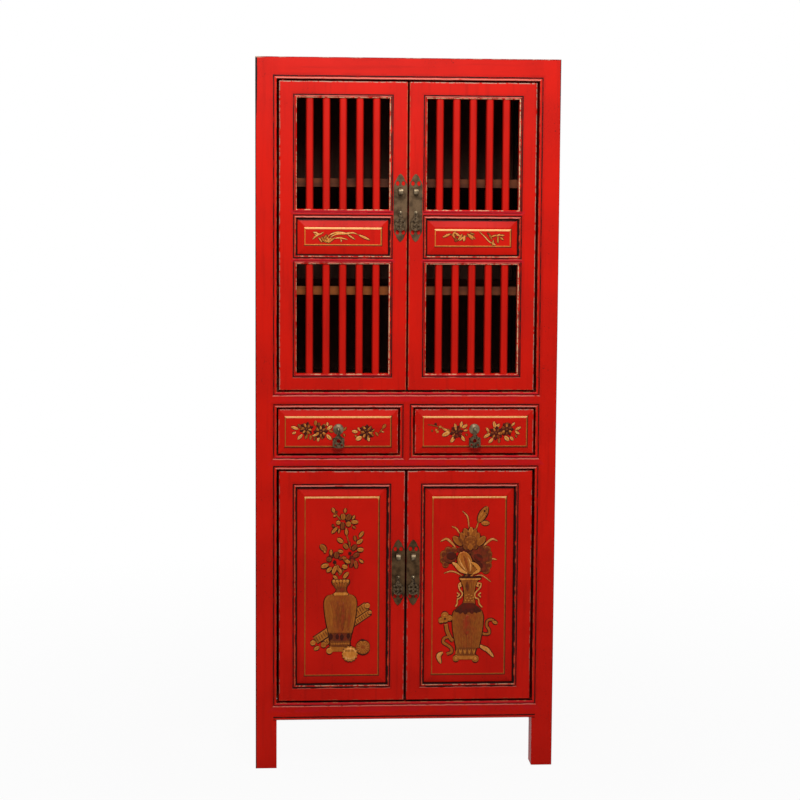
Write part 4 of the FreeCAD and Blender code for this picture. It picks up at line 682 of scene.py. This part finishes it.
def paintFlowerVase():
    art = Painting("flower_vase_painting", "lower_left_door", flowerVase["size"], lowerLeftLine, lowerPlane)
    art.group(*flowerVase["vaseSheet"])
    for start, end, half, blush in (((118, 826), (690, 446), 44, 0.1), ((205, 868), (722, 518), 30, 0.6)):
        art.stroke(curveThrough((start, end), 16), half, gold, 0.0, 1, core=0.1)
        for share in np.linspace(0.04, 0.96, 22):          # hatching along the roll
            place = np.array(start) + (np.array(end) - start) * share
            slant = np.array((half * 0.4, half * 0.7))
            art.petal(place - slant, place + slant, 8, 0.36, 0, 3, outline=0)
        art.disc(end, half * 0.7, light, blush, 4)
    art.disc((94, 850), 30, light, 0.3, 4)
    art.petal((165, 892), (104, 930), 42, light, 0.1, 4, 0.3)
    art.disc((212, 872), 32, gold, 0.1, 4)
    # foot, beaded ring, dark band with drops
    art.vase(372, ((893, 95), (915, 112), (948, 108)), gold, 0, 4)
    art.disc((275, 940), 35, light, 0, 6)
    art.vase(392, ((830, 105), (850, 112), (880, 110), (897, 100)), 0.42, 0, 5)
    for x in np.linspace(302, 484, 8):
        art.disc((x, 862), 12, gold, 0, 9, 0.4)
    art.vase(393, ((738, 132), (780, 122), (832, 112)), 0.32, 0.4, 4)
    # body, shoulder, neck and crown
    art.vase(395, ((318, 100), (338, 150), (385, 176), (450, 180), (560, 168), (650, 152), (748, 128)),
             0.58, 0.3, 6)
    art.petals((((290, 748), (290, 818), 46, 0.02, 0), ((362, 752), (362, 816), 40, 0.02, 0),
                ((412, 752), (412, 826), 42, 0.02, 0),
                ((484, 744), (484, 808), 40, 0.02, 0)), 12, 0.4, outline=0, core=0)
    art.petals((((285, 420), (300, 690), 40, 0.62, 0), ((365, 390), (372, 700), 46, 0.46, 0.3),
                ((430, 400), (418, 720), 60, 0.44, 0.5), ((505, 420), (480, 720), 40, 0.5, 0.55)),
               11, 0.7, outline=0, core=0.05)
    art.vase(400, ((296, 60), (311, 82), (328, 74)), light, 0, 14)
    art.vase(405, ((244, 58), (265, 54), (300, 64)), 0.42, 0.5, 8)
    art.vase(398, ((150, 88), (172, 96), (200, 92), (228, 70), (252, 56)), 0.46, 0.2, 9)
    for x in np.linspace(328, 468, 5):
        art.petal((x, 168), (398 + (x - 398) * 0.6, 242), 24, gold, 0.3, 14, 0.3, 0.5)
    for x in np.linspace(322, 474, 5):
        art.disc((x, 172), 17, light, 0, 16, 0.5)
    # fruits
    art.disc((645, 905), 80, 0.62, 0.3, 8)
    art.petal((640, 838), (644, 812), 34, dark, 0, 8, 0.3)
    for turn in np.linspace(0, 2 * np.pi, 14, endpoint=False):
        way = np.array((np.cos(turn), np.sin(turn)))
        art.petal((645, 900) + way * 18, (645, 905) + way * 70, 8, 0.86, 0.1, 12, outline=0)
        art.disc((500, 975) + way * 70, 17, 0.86, 0, 11)
    art.disc((500, 975), 72, 0.9, 0, 14, 0)
    for x in np.linspace(455, 545, 7):
        art.petal((x, 930), (x, 950), 7, 0.4, 0, 19, outline=0)
    art.petals((((425, 142), (482, 74), 42, light, 0), ((362, 144), (314, 114), 34, light, 0)), 6)

    art.group(*flowerVase["flowerSheet"])
    for points in (((330, 230), (375, 280), (430, 345)), ((510, 470), (520, 570), (545, 660), (575, 760)),
                   ((600, 860), (520, 960), (430, 1110)), ((350, 930), (390, 1040), (420, 1120))):
        art.stroke(curveThrough(points), 9, brown, 0.2, 1, 0.6)
    art.petals((          # sprigs, buds and leaves
        ((345, 250), (316, 178), 42, light, 0), ((372, 288), (326, 292), 28, light, 0.2),
        ((360, 232), (384, 250), 24, brown, 0),
        ((490, 252), (498, 184), 36, light, 0.3), ((595, 345), (628, 283), 30, light, 0),
        ((595, 432), (642, 468), 28, gold, 0.2),
        ((387, 445), (306, 534), 46, light, 0.1), ((346, 424), (306, 434), 32, brown, 0.2),
        ((416, 468), (402, 534), 28, light, 0.3),
        ((508, 462), (516, 564), 42, light, 0.2), ((690, 592), (750, 508), 46, light, 0),
        ((654, 678), (740, 620), 54, light, 0),
        ((641, 642), (624, 566), 36, gold, 0.4), ((470, 662), (384, 604), 60, light, 0.1),
        ((555, 702), (548, 640), 22, gold, 0.6),
        ((232, 778), (148, 688), 74, gold, 0.1), ((196, 782), (232, 800), 24, light, 0.3),
        ((690, 898), (752, 946), 36, light, 0.1),
    ), 2, 0.3)
    art.petals((          # topmost blossom
        ((520, 352), (566, 270), 70, brown, 0.1), ((462, 378), (456, 482), 56, brown, 0.2),
        ((470, 348), (462, 260), 70, gold, 0.1),
        ((578, 375), (677, 378), 54, light, 0.1), ((432, 386), (366, 384), 58, light, 0),
    ), 5, 0.0)
    art.disc((541, 404), 38, gold, 0, 7)
    art.disc((508, 358), 16, 0.05, 0, 9, 0)
    art.petals((          # blossom on the right, reddened
        ((532, 748), (478, 678), 60, gold, 0.1), ((590, 772), (652, 694), 60, brown, 0.2),
        ((660, 762), (754, 764), 60, light, 0.1),
        ((606, 862), (692, 812), 60, brown, 0.8), ((600, 868), (598, 962), 60, brown, 0.9),
        ((640, 915), (652, 1022), 50, gold, 0.8),
        ((590, 938), (574, 1012), 36, brown, 0.8), ((512, 880), (448, 870), 40, gold, 0.5),
        ((488, 902), (564, 944), 54, light, 0.1),
        ((470, 920), (520, 880), 40, brown, 0.3), ((560, 860), (620, 900), 40, dark, 0.4),
    ), 5, 0.1)
    art.disc((562, 812), 24, 0.05, 0, 8, 0)
    art.petals((          # blossom on the left
        ((300, 842), (297, 758), 42, light, 0.3), ((370, 882), (379, 788), 68, brown, 0.1),
        ((394, 774), (470, 792), 46, light, 0.5),
        ((312, 890), (232, 898), 64, brown, 0.1), ((330, 860), (268, 838), 40, dark, 0.2),
        ((420, 900), (440, 860), 40, brown, 0.2),
        ((266, 965), (158, 1002), 62, light, 0.1), ((306, 1004), (238, 1072), 52, light, 0.1),
        ((366, 984), (322, 1104), 56, light, 0.1),
        ((386, 974), (396, 1052), 50, gold, 0.1), ((408, 1018), (440, 1088), 46, light, 0.1),
        ((452, 984), (528, 1012), 64, light, 0),
    ), 6, 0.1)
    art.disc((350, 932), 26, 0.06, 0, 9, 0)
    art.build()


# Right lower door: a two-handled vase with a lotus, a sceptre and ribbons

lotusVase = {"size": (863, 2112), "flowerSheet": ((14, 31), 1.0), "vaseSheet": ((29, 931), 1.0)}


def paintLotusVase():
    art = Painting("lotus_vase_painting", "lower_right_door", lotusVase["size"], lowerRightLine, lowerPlane)
    art.group(*lotusVase["flowerSheet"])
    for points, half in (          # thin curved blades
        (((338, 132), (398, 205), (416, 335)), 9), (((212, 314), (266, 342), (308, 404)), 10),
        (((80, 492), (150, 464), (215, 515), (268, 578)), 14),
        (((756, 490), (692, 468), (630, 510), (572, 568)), 13),
        (((668, 704), (706, 704), (750, 714)), 10), (((122, 872), (200, 850), (272, 866), (350, 915)), 9),
        (((496, 902), (582, 906), (682, 978)), 8),
    ):
        art.blade(points, half, light, 0.4)
    art.blade(((524, 270), (512, 310), (498, 356)), 9, gold, 0.1)
    # butterfly
    art.petals((((524, 272), (634, 78), 96, 0.62, 0), ((560, 276), (660, 278), 58, gold, 0.2)),
               4, 0.35, core=0.06)
    art.petals((((520, 230), (600, 120), 20, light, 0), ((545, 250), (616, 170), 14, light, 0),
                ((585, 272), (640, 272), 14, light, 0.2)), 8, 0.5, outline=0)
    art.disc((598, 132), 12, 0.0, 0, 10, 0)
    for place in ((622, 110), (620, 160), (612, 190), (604, 216)):
        art.disc(place, 6, 0.05, 0, 10, 0)
    # dark leaves with lobed, paler rims
    for place, radius in (((120, 650), 48), ((118, 710), 46), ((140, 768), 40), ((172, 602), 46),
                          ((236, 600), 44), ((628, 596), 50), ((650, 650), 46), ((652, 710), 44),
                          ((648, 780), 44), ((622, 836), 48), ((560, 566), 46)):
        art.disc(place, radius, 0.52, 0.25, 3, 0.8)
        art.disc(place, radius * 0.62, 0.36, 0.3, 5, 0)
    art.petals((((270, 680), (112, 690), 150, 0.2, 0.5), ((440, 640), (660, 700), 190, 0.22, 0.6),
                ((520, 720), (610, 850), 130, 0.2, 0.5),
                ((260, 600), (600, 590), 110, 0.2, 0.4)), 6, 0.1, outline=0, core=-0.04)
    art.petals((((270, 660), (150, 672), 92, 0.05, 0.1), ((480, 660), (580, 720), 90, 0.08, 0.5),
                ((500, 740), (580, 810), 70, 0.05, 0.2),
                ((300, 596), (470, 590), 60, 0.08, 0.3)), 9, 0.2, outline=0, core=0)
    # lotus flower: rows of petals over a rounded heart
    art.petals((((410, 560), (424, 380), 230, 0.42, 0), ((335, 545), (228, 432), 78, gold, 0),
                ((515, 545), (610, 434), 82, gold, 0), ((350, 540), (286, 446), 66, brown, 0),
                ((385, 500), (314, 388), 74, gold, 0.1),
                ((490, 500), (530, 388), 66, gold, 0.1), ((402, 440), (360, 336), 64, gold, 0.1),
                ((468, 440), (492, 338), 54, gold, 0.1),
                ((432, 440), (442, 322), 62, light, 0.1), ((412, 460), (396, 376), 50, brown, 0.1),
                ((452, 460), (462, 378), 46, gold, 0.1),
                ((380, 560), (368, 440), 70, brown, 0), ((480, 560), (492, 440), 70, brown, 0)), 8, 0.3)
    for radius, tone in ((74, brown), (52, gold), (32, brown)):
        art.disc((432, 500), radius, tone, 0.05, 12, 0.6)
    art.petals((((400, 590), (356, 530), 60, brown, 0), ((432, 600), (432, 520), 66, gold, 0),
                ((470, 590), (510, 530), 60, brown, 0)), 13, 0.4)
    # folded bud in front, with turned-out lips
    art.petal((410, 872), (334, 612), 180, 0.72, 0.25, 14, 0.0, core=0.1)
    art.petals((((410, 870), (262, 778), 70, gold, 0.1), ((410, 876), (498, 796), 84, gold, 0.1)), 12, 0.1)
    art.blade(((220, 744), (268, 778), (322, 836), (400, 876)), 26, 0.84, 0, 16, 0.8)
    art.blade(((446, 742), (500, 778), (534, 836), (462, 884)), 24, 0.8, 0, 16, 0.8)
    art.blade(((300, 690), (326, 760), (380, 840)), 10, 0.86, 0, 18, 0.3)
    art.blade(((352, 660), (384, 740), (410, 850)), 12, 0.5, 0.6, 18, 0.3)
    art.blade(((404, 680), (432, 750), (436, 850)), 9, 0.86, 0, 18, 0.3)
    art.petal((352, 912), (440, 912), 60, 0.15, 0.1, 5)
    art.petals((((372, 932), (400, 884), 26, brown, 0), ((430, 930), (470, 886), 26, light, 0)), 17, 0.4)

    art.group(*lotusVase["vaseSheet"])
    for points, half in (          # ribbons and the sceptre's shaft
        (((165, 735), (116, 754), (106, 800), (150, 832), (200, 872), (204, 920), (148, 942)), 15),
        (((560, 690), (602, 706), (650, 700), (654, 660), (622, 600), (632, 546), (680, 532), (735, 565)),
         13),
    ):
        art.stroke(curveThrough(points, 44), half, gold, 0.1, 3, core=0.15)
    art.blade(((100, 920), (52, 965), (78, 1054)), 27, light, 0.2, 3, 1.6)
    art.blade(((526, 836), (592, 872), (640, 902), (708, 982)), 26, light, 0.3, 3, 1.6)
    art.petal((690, 550), (752, 580), 40, light, 0.2, 5, 0.3)
    art.stroke(curveThrough(((136, 580), (150, 660), (190, 750), (226, 782)), 20), 21, 0.66, 0.1, 4, core=0.1)
    for place, radius in (((122, 478), 44), ((80, 536), 36), ((176, 510), 36), ((126, 524), 40)):
        art.disc(place, radius, gold, 0, 6, core=0.1)
    art.disc((124, 516), 12, 0.03, 0, 12, 0)
    art.petals((((100, 480), (146, 480), 16, light, 0), ((66, 545), (108, 560), 14, light, 0),
                ((160, 530), (198, 510), 14, light, 0)), 11, 0.3, outline=0)
    # stand, foot, body
    for place, radius in (((258, 995), 38), ((490, 1000), 42)):
        art.disc(place, radius, gold, 0, 6)
        art.disc(place, radius * 0.45, light, 0, 11, 0.5)
    art.vase(375, ((952, 120), (975, 128), (1008, 112)), 0.74, 0.1, 5)
    art.vase(378, ((862, 124), (890, 122), (930, 110), (962, 118)), 0.46, 0, 6)
    for index, x in enumerate(np.linspace(272, 484, 9)):
        art.petal((x, 884), (x + (14 if index % 2 else -14), 946), 18, light, 0, 11, 0.3, 0.4)
    art.vase(395, ((412, 150), (430, 168), (500, 186), (600, 182), (700, 170), (800, 150), (872, 136)),
             0.52, 0.3, 5, core=0.06)
    art.petals((((392, 470), (386, 720), 110, 0.42, 0.9), ((350, 520), (360, 680), 60, 0.44, 0.6)),
               9, 0.4, outline=0, core=0)
    for x in np.linspace(262, 528, 9):
        art.petal((x, 690), (395 + (x - 395) * 0.84, 866), 9, 0.68, 0, 11, 0.7, outline=0)
    # dark shoulder with a ragged edge
    art.vase(398, ((328, 64), (352, 90), (384, 132), (420, 152), (440, 140)), 0.14, 0.25, 8, outline=0)
    art.petals((((262, 396), (252, 440), 40, 0.08, 0.1), ((310, 410), (300, 458), 50, 0.08, 0.2),
                ((370, 420), (362, 466), 50, 0.07, 0.1),
                ((440, 410), (446, 462), 44, 0.1, 0.3), ((490, 400), (500, 452), 44, 0.08, 0.2),
                ((530, 392), (544, 436), 36, 0.08, 0.1)),
               12, 0.6, outline=0, core=0)
    # neck, rim and scroll handles
    art.vase(410, ((34, 118), (60, 102), (120, 78), (200, 62), (270, 62), (340, 72)), 0.56, 0.12, 6)
    art.petals((((380, 70), (388, 190), 40, 0.42, 0.1), ((440, 70), (430, 170), 36, 0.66, 0)),
               11, 0.5, outline=0)
    for place in ((372, 236), (404, 228), (438, 240), (384, 268), (424, 274), (456, 266), (366, 296),
                  (404, 300), (444, 304)):
        art.disc(place, 10, 0.82, 0, 12, 0.4)
    art.vase(420, ((26, 122), (38, 128), (52, 116)), 0.84, 0.1, 12)
    art.vase(422, ((8, 120), (20, 138), (32, 124)), 0.04, 0, 14, outline=0)
    for points in (
        ((312, 84), (284, 112), (296, 166), (328, 214), (306, 262), (270, 286), (268, 336), (246, 372)),
        ((500, 92), (548, 100), (534, 150), (480, 212), (482, 262), (520, 284), (530, 340), (566, 382)),
        ((266, 204), (290, 232), (264, 256)), ((548, 206), (520, 234), (548, 258)),
        ((516, 104), (500, 124), (524, 130)),
        ((300, 100), (310, 124), (290, 130)),
    ):
        art.stroke(curveThrough(points, 40), 9, light, 0.15, 9, 0.7, core=0.0)
    art.build()


# Drawers: sprays of blossoms with dark hearts, on both sides of the pull

flowerSpray = {"leftSize": (1255, 345), "leftSheet": (-45, -65),
               "rightSize": (1230, 350), "rightSheet": (-100, -62)}


def paintLeftSpray():
    size = flowerSpray["leftSize"]
    art = Painting("left_drawer_painting", "left_drawer", size, leftDrawerLine, drawerPlane)
    art.group(flowerSpray["leftSheet"])
    art.petals((          # leaves
        ((200, 206), (112, 176), 46, bright, 0), ((172, 242), (126, 260), 34, bright, 0.2),
        ((248, 268), (190, 328), 44, bright, 0.1),
        ((238, 198), (192, 148), 40, brown, 0.1), ((406, 166), (404, 104), 44, gold, 0.1),
        ((440, 180), (446, 128), 36, brown, 0.1),
        ((480, 204), (518, 146), 46, gold, 0.1), ((545, 172), (545, 124), 30, bright, 0),
        ((538, 212), (604, 168), 50, bright, 0),
        ((562, 224), (614, 242), 30, gold, 0), ((302, 258), (284, 324), 40, gold, 0.1),
        ((345, 276), (345, 334), 34, gold, 0),
        ((396, 292), (387, 342), 28, brown, 0.1), ((441, 298), (431, 354), 36, bright, 0),
        ((486, 280), (478, 330), 28, brown, 0.1),
        ((534, 272), (594, 334), 50, bright, 0), ((734, 228), (772, 182), 30, gold, 0.1),
        ((738, 258), (752, 296), 28, gold, 0.1),
        ((908, 242), (838, 230), 48, bright, 0), ((936, 228), (908, 188), 28, bright, 0),
        ((955, 298), (884, 334), 66, bright, 0),
        ((900, 300), (870, 280), 28, gold, 0.1), ((1118, 242), (1152, 288), 32, gold, 0.1),
        ((1190, 236), (1222, 244), 16, bright, 0),
        ((1204, 200), (1242, 150), 40, gold, 0.1), ((1176, 230), (1200, 214), 24, gold, 0.2),
    ), 2, 0.3, 0.8, 0.06, outline=1.2)
    art.blade(((1160, 258), (1190, 220), (1222, 176)), 5, brown)
    art.petals((          # blossoms, each round a dark heart
        ((290, 192), (262, 136), 44, brown, 0.2), ((306, 190), (314, 138), 44, brown, 0.2),
        ((312, 206), (362, 182), 46, brown, 0.1),
        ((308, 222), (340, 258), 44, gold, 0.1), ((284, 220), (250, 252), 44, brown, 0.1),
        ((274, 204), (226, 210), 42, brown, 0.3),
        ((458, 216), (420, 184), 46, gold, 0.1), ((478, 216), (498, 176), 44, brown, 0.1),
        ((486, 236), (540, 226), 46, gold, 0),
        ((478, 250), (510, 290), 44, brown, 0.1), ((444, 262), (364, 288), 52, 0.82, 0),
        ((450, 238), (402, 240), 44, brown, 0.1),
        ((1000, 214), (962, 172), 48, brown, 0.1), ((1014, 210), (1014, 160), 44, brown, 0.2),
        ((1034, 216), (1070, 172), 46, 0.46, 0),
        ((1046, 232), (1108, 214), 44, gold, 0.1), ((1046, 256), (1098, 292), 48, brown, 0.1),
        ((1034, 290), (1040, 354), 56, bright, 0),
        ((1010, 282), (970, 306), 42, brown, 0.1), ((994, 248), (946, 256), 42, brown, 0.2),
    ), 5, 0.4, 0.55, 0.16, outline=1.5)
    for place, radius, turn in (((296, 204), 84, 0.2), ((466, 234), 88, 0.5), ((1012, 244), 92, 0.1)):
        art.blossom(place, radius, 12, (0.9, 0.05, gold, 0.1), 0.1, turn)
    for place, radius in (((296, 204), 24), ((466, 234), 26), ((1000, 224), 22), ((1020, 262), 22)):
        art.disc(place, radius, 0.05, 0.1, 10, 0, 0.02)
        art.disc(place, radius * 0.35, 0.5, 0, 14, 0)
    art.build()


def paintRightSpray():
    size = flowerSpray["rightSize"]
    art = Painting("right_drawer_painting", "right_drawer", size, rightDrawerLine, drawerPlane)
    art.group(flowerSpray["rightSheet"])
    art.blade(((150, 152), (230, 166), (320, 196)), 5, brown, 0.2)
    for place, radius, tone in (((205, 226), 13, brown), ((252, 218), 13, light), ((268, 240), 15, light),
                                ((300, 180), 16, light), ((328, 194), 13, gold), ((246, 150), 16, dark),
                                ((284, 206), 10, brown)):
        art.disc(place, radius, tone, 0.1, 2, 0.6)
    art.petals((          # leaves
        ((418, 244), (322, 288), 58, bright, 0), ((402, 236), (334, 204), 34, bright, 0.1),
        ((420, 232), (380, 210), 26, gold, 0),
        ((486, 218), (474, 138), 36, bright, 0.1), ((544, 188), (556, 116), 40, bright, 0),
        ((558, 194), (624, 156), 42, bright, 0),
        ((578, 226), (628, 220), 26, bright, 0), ((476, 294), (426, 368), 50, bright, 0),
        ((548, 284), (594, 354), 44, bright, 0),
        ((882, 238), (848, 192), 32, bright, 0), ((898, 264), (818, 312), 42, bright, 0),
        ((884, 262), (862, 240), 26, gold, 0),
        ((956, 194), (938, 116), 44, bright, 0), ((962, 194), (1008, 146), 40, bright, 0),
        ((932, 318), (882, 374), 40, bright, 0),
        ((1006, 318), (1000, 378), 28, gold, 0.3), ((1068, 292), (1120, 350), 58, bright, 0),
        ((1134, 302), (1174, 344), 40, bright, 0),
        ((1150, 172), (1188, 128), 28, bright, 0), ((1198, 216), (1264, 184), 34, bright, 0),
        ((1194, 238), (1248, 268), 34, bright, 0),
        ((1198, 276), (1214, 312), 26, gold, 0.1), ((1188, 230), (1222, 220), 22, gold, 0),
        ((606, 262), (622, 290), 20, gold, 0.3),
    ), 2, 0.3, 0.85, 0.03, outline=1.2)
    art.petals((          # blossoms, dark red round darker hearts
        ((484, 232), (438, 204), 52, dark, 0.9), ((500, 232), (524, 196), 48, dark, 0.9),
        ((508, 250), (552, 262), 44, dark, 0.7),
        ((482, 258), (444, 276), 44, dark, 0.7), ((494, 262), (508, 296), 38, dark, 0.8),
        ((956, 246), (926, 212), 50, dark, 0.9),
        ((974, 244), (990, 212), 44, dark, 0.9), ((958, 268), (930, 300), 44, brown, 0.7),
        ((980, 272), (1016, 302), 44, brown, 0.5),
        ((1090, 194), (1098, 128), 46, brown, 0.2), ((1080, 206), (1036, 178), 50, brown, 0.3),
        ((1112, 206), (1154, 196), 46, brown, 0.3),
        ((1102, 228), (1136, 260), 46, brown, 0.3), ((1080, 226), (1044, 258), 52, gold, 0),
        ((1040, 246), (1008, 262), 40, gold, 0),
    ), 5, 0.1, outline=1.4)
    for place, radius, turn in (((494, 246), 84, 0.3), ((966, 256), 86, 0.1), ((1094, 212), 84, 0.5)):
        art.blossom(place, radius, 12, (0.9, 0.05, brown, 0.1), 0.3, turn)
    for place, radius in (((494, 246), 24), ((966, 256), 26), ((1094, 212), 30)):
        art.disc(place, radius, 0.04, 0.2, 10, 0, 0.02)
        art.disc(place, radius * 0.35, 0.5, 0, 14, 0)
    art.build()


# Small panels: an orchid on the left door, bamboo on the right

smallArt = {"leftSize": (1075, 245), "leftSheet": (-95, -79),
            "rightSize": (1060, 230), "rightSheet": (-70, -111)}


def paintOrchid():
    art = Painting("orchid_painting", "upper_left_door", smallArt["leftSize"], upperLeftLine, upperPlane)
    art.group(smallArt["leftSheet"])
    for points, half in (
        (((206, 140), (252, 148), (296, 170), (356, 138)), 12),
        (((202, 244), (258, 190), (318, 156)), 13),
        (((420, 196), (480, 160), (560, 142), (650, 150), (710, 166)), 13),
        (((452, 210), (540, 168), (660, 158), (770, 146), (836, 168)), 12),
        (((490, 232), (590, 222), (694, 246)), 11), (((592, 236), (608, 260), (604, 282)), 8),
        (((232, 160), (250, 190), (246, 214)), 9),
    ):
        art.blade(points, half, light, 0.1)
    art.petals((
        ((284, 214), (338, 292), 30, 0.9, 0), ((330, 204), (352, 276), 26, light, 0),
        ((346, 282), (392, 176), 28, light, 0),
        ((362, 290), (432, 196), 32, light, 0), ((384, 296), (470, 214), 34, 0.92, 0),
        ((408, 304), (524, 214), 36, light, 0),
        ((344, 244), (506, 232), 30, gold, 0), ((330, 206), (424, 262), 28, brown, 0),
        ((400, 164), (396, 250), 24, gold, 0),
        ((360, 262), (460, 290), 28, light, 0), ((690, 166), (806, 248), 32, 0.9, 0),
        ((844, 172), (1016, 252), 44, 0.9, 0),
    ), 4, 0.6, 0.7, 0.06, outline=1.2)
    art.build()


def paintBamboo():
    art = Painting("bamboo_painting", "upper_right_door", smallArt["rightSize"], upperRightLine, upperPlane)
    art.group(smallArt["rightSheet"])
    art.blade(((690, 132), (770, 206), (836, 276), (908, 316)), 9, light, 0.1)
    art.blade(((280, 176), (420, 196), (600, 200)), 6, brown, 0.1)
    art.petals((
        ((290, 162), (170, 218), 40, light, 0), ((306, 196), (358, 126), 34, light, 0),
        ((312, 168), (352, 244), 34, light, 0),
        ((346, 148), (424, 204), 36, 0.92, 0), ((392, 254), (454, 164), 36, 0.9, 0),
        ((408, 266), (474, 202), 32, 0.9, 0),
        ((482, 184), (474, 278), 46, 0.92, 0), ((518, 158), (604, 250), 40, light, 0),
        ((542, 166), (640, 240), 34, light, 0),
        ((556, 150), (624, 172), 26, gold, 0), ((326, 212), (398, 268), 34, brown, 0.3),
        ((340, 250), (372, 280), 24, brown, 0.3),
        ((828, 168), (872, 244), 36, gold, 0), ((856, 206), (944, 178), 30, light, 0),
        ((936, 196), (990, 166), 34, 0.92, 0),
        ((956, 196), (956, 296), 34, light, 0), ((978, 184), (1050, 184), 30, light, 0),
        ((984, 212), (1038, 250), 34, light, 0),
        ((866, 288), (924, 326), 34, 0.92, 0), ((892, 246), (880, 336), 30, light, 0),
        ((846, 176), (800, 150), 20, brown, 0.2),
    ), 3, 0.6, 0.75, 0.06, outline=1.2)
    art.build()


paintFlowerVase()
paintLotusVase()
paintLeftSpray()
paintRightSpray()
paintOrchid()
paintBamboo()


# Studio: pale floor, soft light from above, and the photograph's camera

studio = {
    "floorSize": 30.0, "floorNear": 0.95, "floorTone": 0.45, "ambient": 0.21,
    "keyPower": 59.0, "keyPlace": (-0.02, -1.85, 2.8), "keySize": 1.6, "keyTarget": 1.2,
    "sidePower": 26.0, "sidePlace": (3.2, 1.0, 1.7), "sideSize": 2.0,
    "backPower": 40.0, "backPlace": (0.6, 4.2, 2.2),
}


def aimedLamp(name, place, target, size, power):
    lamp = bpy.data.lights.new(name, "AREA")
    lamp.shape = "DISK"
    lamp.size = size
    lamp.energy = power
    holder = bpy.data.objects.new(name, lamp)
    scene.collection.objects.link(holder)
    way = Vector(target) - Vector(place)
    holder.matrix_world = Matrix.Translation(place) @ way.to_track_quat("-Z", "Y").to_matrix().to_4x4()


def whiteForView(tree):          # 1 for camera, glossy and transmission rays
    path = addNode(tree, "ShaderNodeLightPath")
    seen = calc(tree, "MAXIMUM", path.outputs["Is Camera Ray"], path.outputs["Is Glossy Ray"])
    return calc(tree, "MAXIMUM", seen, path.outputs["Is Transmission Ray"])


def makeStudio():
    half = studio["floorSize"] / 2
    mesh = bpy.data.meshes.new("floor")
    corners = [(-half, -half, 0), (half, -half, 0), (half, half, 0), (-half, half, 0)]
    mesh.from_pydata(corners, [], [(0, 1, 2, 3)])
    floor = bpy.data.objects.new("floor", mesh)
    scene.collection.objects.link(floor)
    material = bpy.data.materials.new("paleFloor")
    material.use_nodes = True
    tree = material.node_tree
    tree.nodes.clear()
    diffuse = addNode(tree, "ShaderNodeBsdfDiffuse", {"Color": (studio["floorTone"],) * 3 + (1,)})
    glow = addNode(tree, "ShaderNodeEmission", {"Color": (1, 1, 1, 1), "Strength": 1.0})
    place = addNode(tree, "ShaderNodeTexCoord").outputs["Object"]
    away = addNode(tree, "ShaderNodeVectorMath", {0: place}, operation="LENGTH").outputs["Value"]
    fade = addNode(tree, "ShaderNodeMapRange", {0: away, 1: 0.7, 2: 3.0, 3: studio["floorNear"], 4: 1.0})
    factor = calc(tree, "MULTIPLY", whiteForView(tree), fade.outputs[0])
    mixed = addNode(tree, "ShaderNodeMixShader", {0: factor, 1: diffuse.outputs[0], 2: glow.outputs[0]})
    addNode(tree, "ShaderNodeOutputMaterial", {"Surface": mixed.outputs[0]})
    mesh.materials.append(material)

    world = bpy.data.worlds.new("studio")
    scene.world = world
    world.use_nodes = True
    tree = world.node_tree
    tree.nodes.clear()
    soft = addNode(tree, "ShaderNodeBackground", {"Color": (1, 1, 1, 1), "Strength": studio["ambient"]})
    white = addNode(tree, "ShaderNodeBackground", {"Color": (1, 1, 1, 1), "Strength": 1.0})
    shaders = {0: whiteForView(tree), 1: soft.outputs[0], 2: white.outputs[0]}
    mixed = addNode(tree, "ShaderNodeMixShader", shaders)
    addNode(tree, "ShaderNodeOutputWorld", {"Surface": mixed.outputs[0]})
    x, y, z = studio["keyPlace"]
    aimedLamp("keyLamp", (x, postFront + y, z), (0, postFront, studio["keyTarget"]), studio["keySize"],
              studio["keyPower"])
    x, y, z = studio["sidePlace"]
    aimedLamp("leftLamp", (-x, y, z), (0, 0, 1), studio["sideSize"], studio["sidePower"])
    aimedLamp("rightLamp", (x, y, z), (0, 0, 1), studio["sideSize"], studio["sidePower"])
    aimedLamp("backLamp", studio["backPlace"], (0, 0, 1), studio["sideSize"], studio["backPower"])
    scene.view_settings.view_transform = "Standard"


# Camera solved from the corners of the frame in the photograph
view = {"place": (-0.3822, postFront - 5.2184, 1.5218), "yaw": 3.991, "pitch": 5.757, "roll": 0.373,
        "focalPixels": 1984.9, "framePixels": 800, "sensor": 36.0}


def makeCamera():
    yaw, pitch, roll = (math.radians(view[key]) for key in ("yaw", "pitch", "roll"))
    forward = Vector((math.sin(yaw) * math.cos(pitch), math.cos(yaw) * math.cos(pitch), -math.sin(pitch)))
    right = Vector((math.cos(yaw), -math.sin(yaw), 0))
    up = right.cross(forward)
    turnedRight = right * math.cos(roll) + up * math.sin(roll)
    turnedUp = up * math.cos(roll) - right * math.sin(roll)
    camera = bpy.data.objects.new("camera", bpy.data.cameras.new("camera"))
    scene.collection.objects.link(camera)
    camera.data.sensor_width = view["sensor"]
    camera.data.lens = view["focalPixels"] / view["framePixels"] * view["sensor"]
    axes = Matrix((turnedRight, turnedUp, -forward)).transposed().to_4x4()
    camera.matrix_world = Matrix.Translation(view["place"]) @ axes
    scene.camera = camera


makeStudio()
makeCamera()
print("studio and camera set")
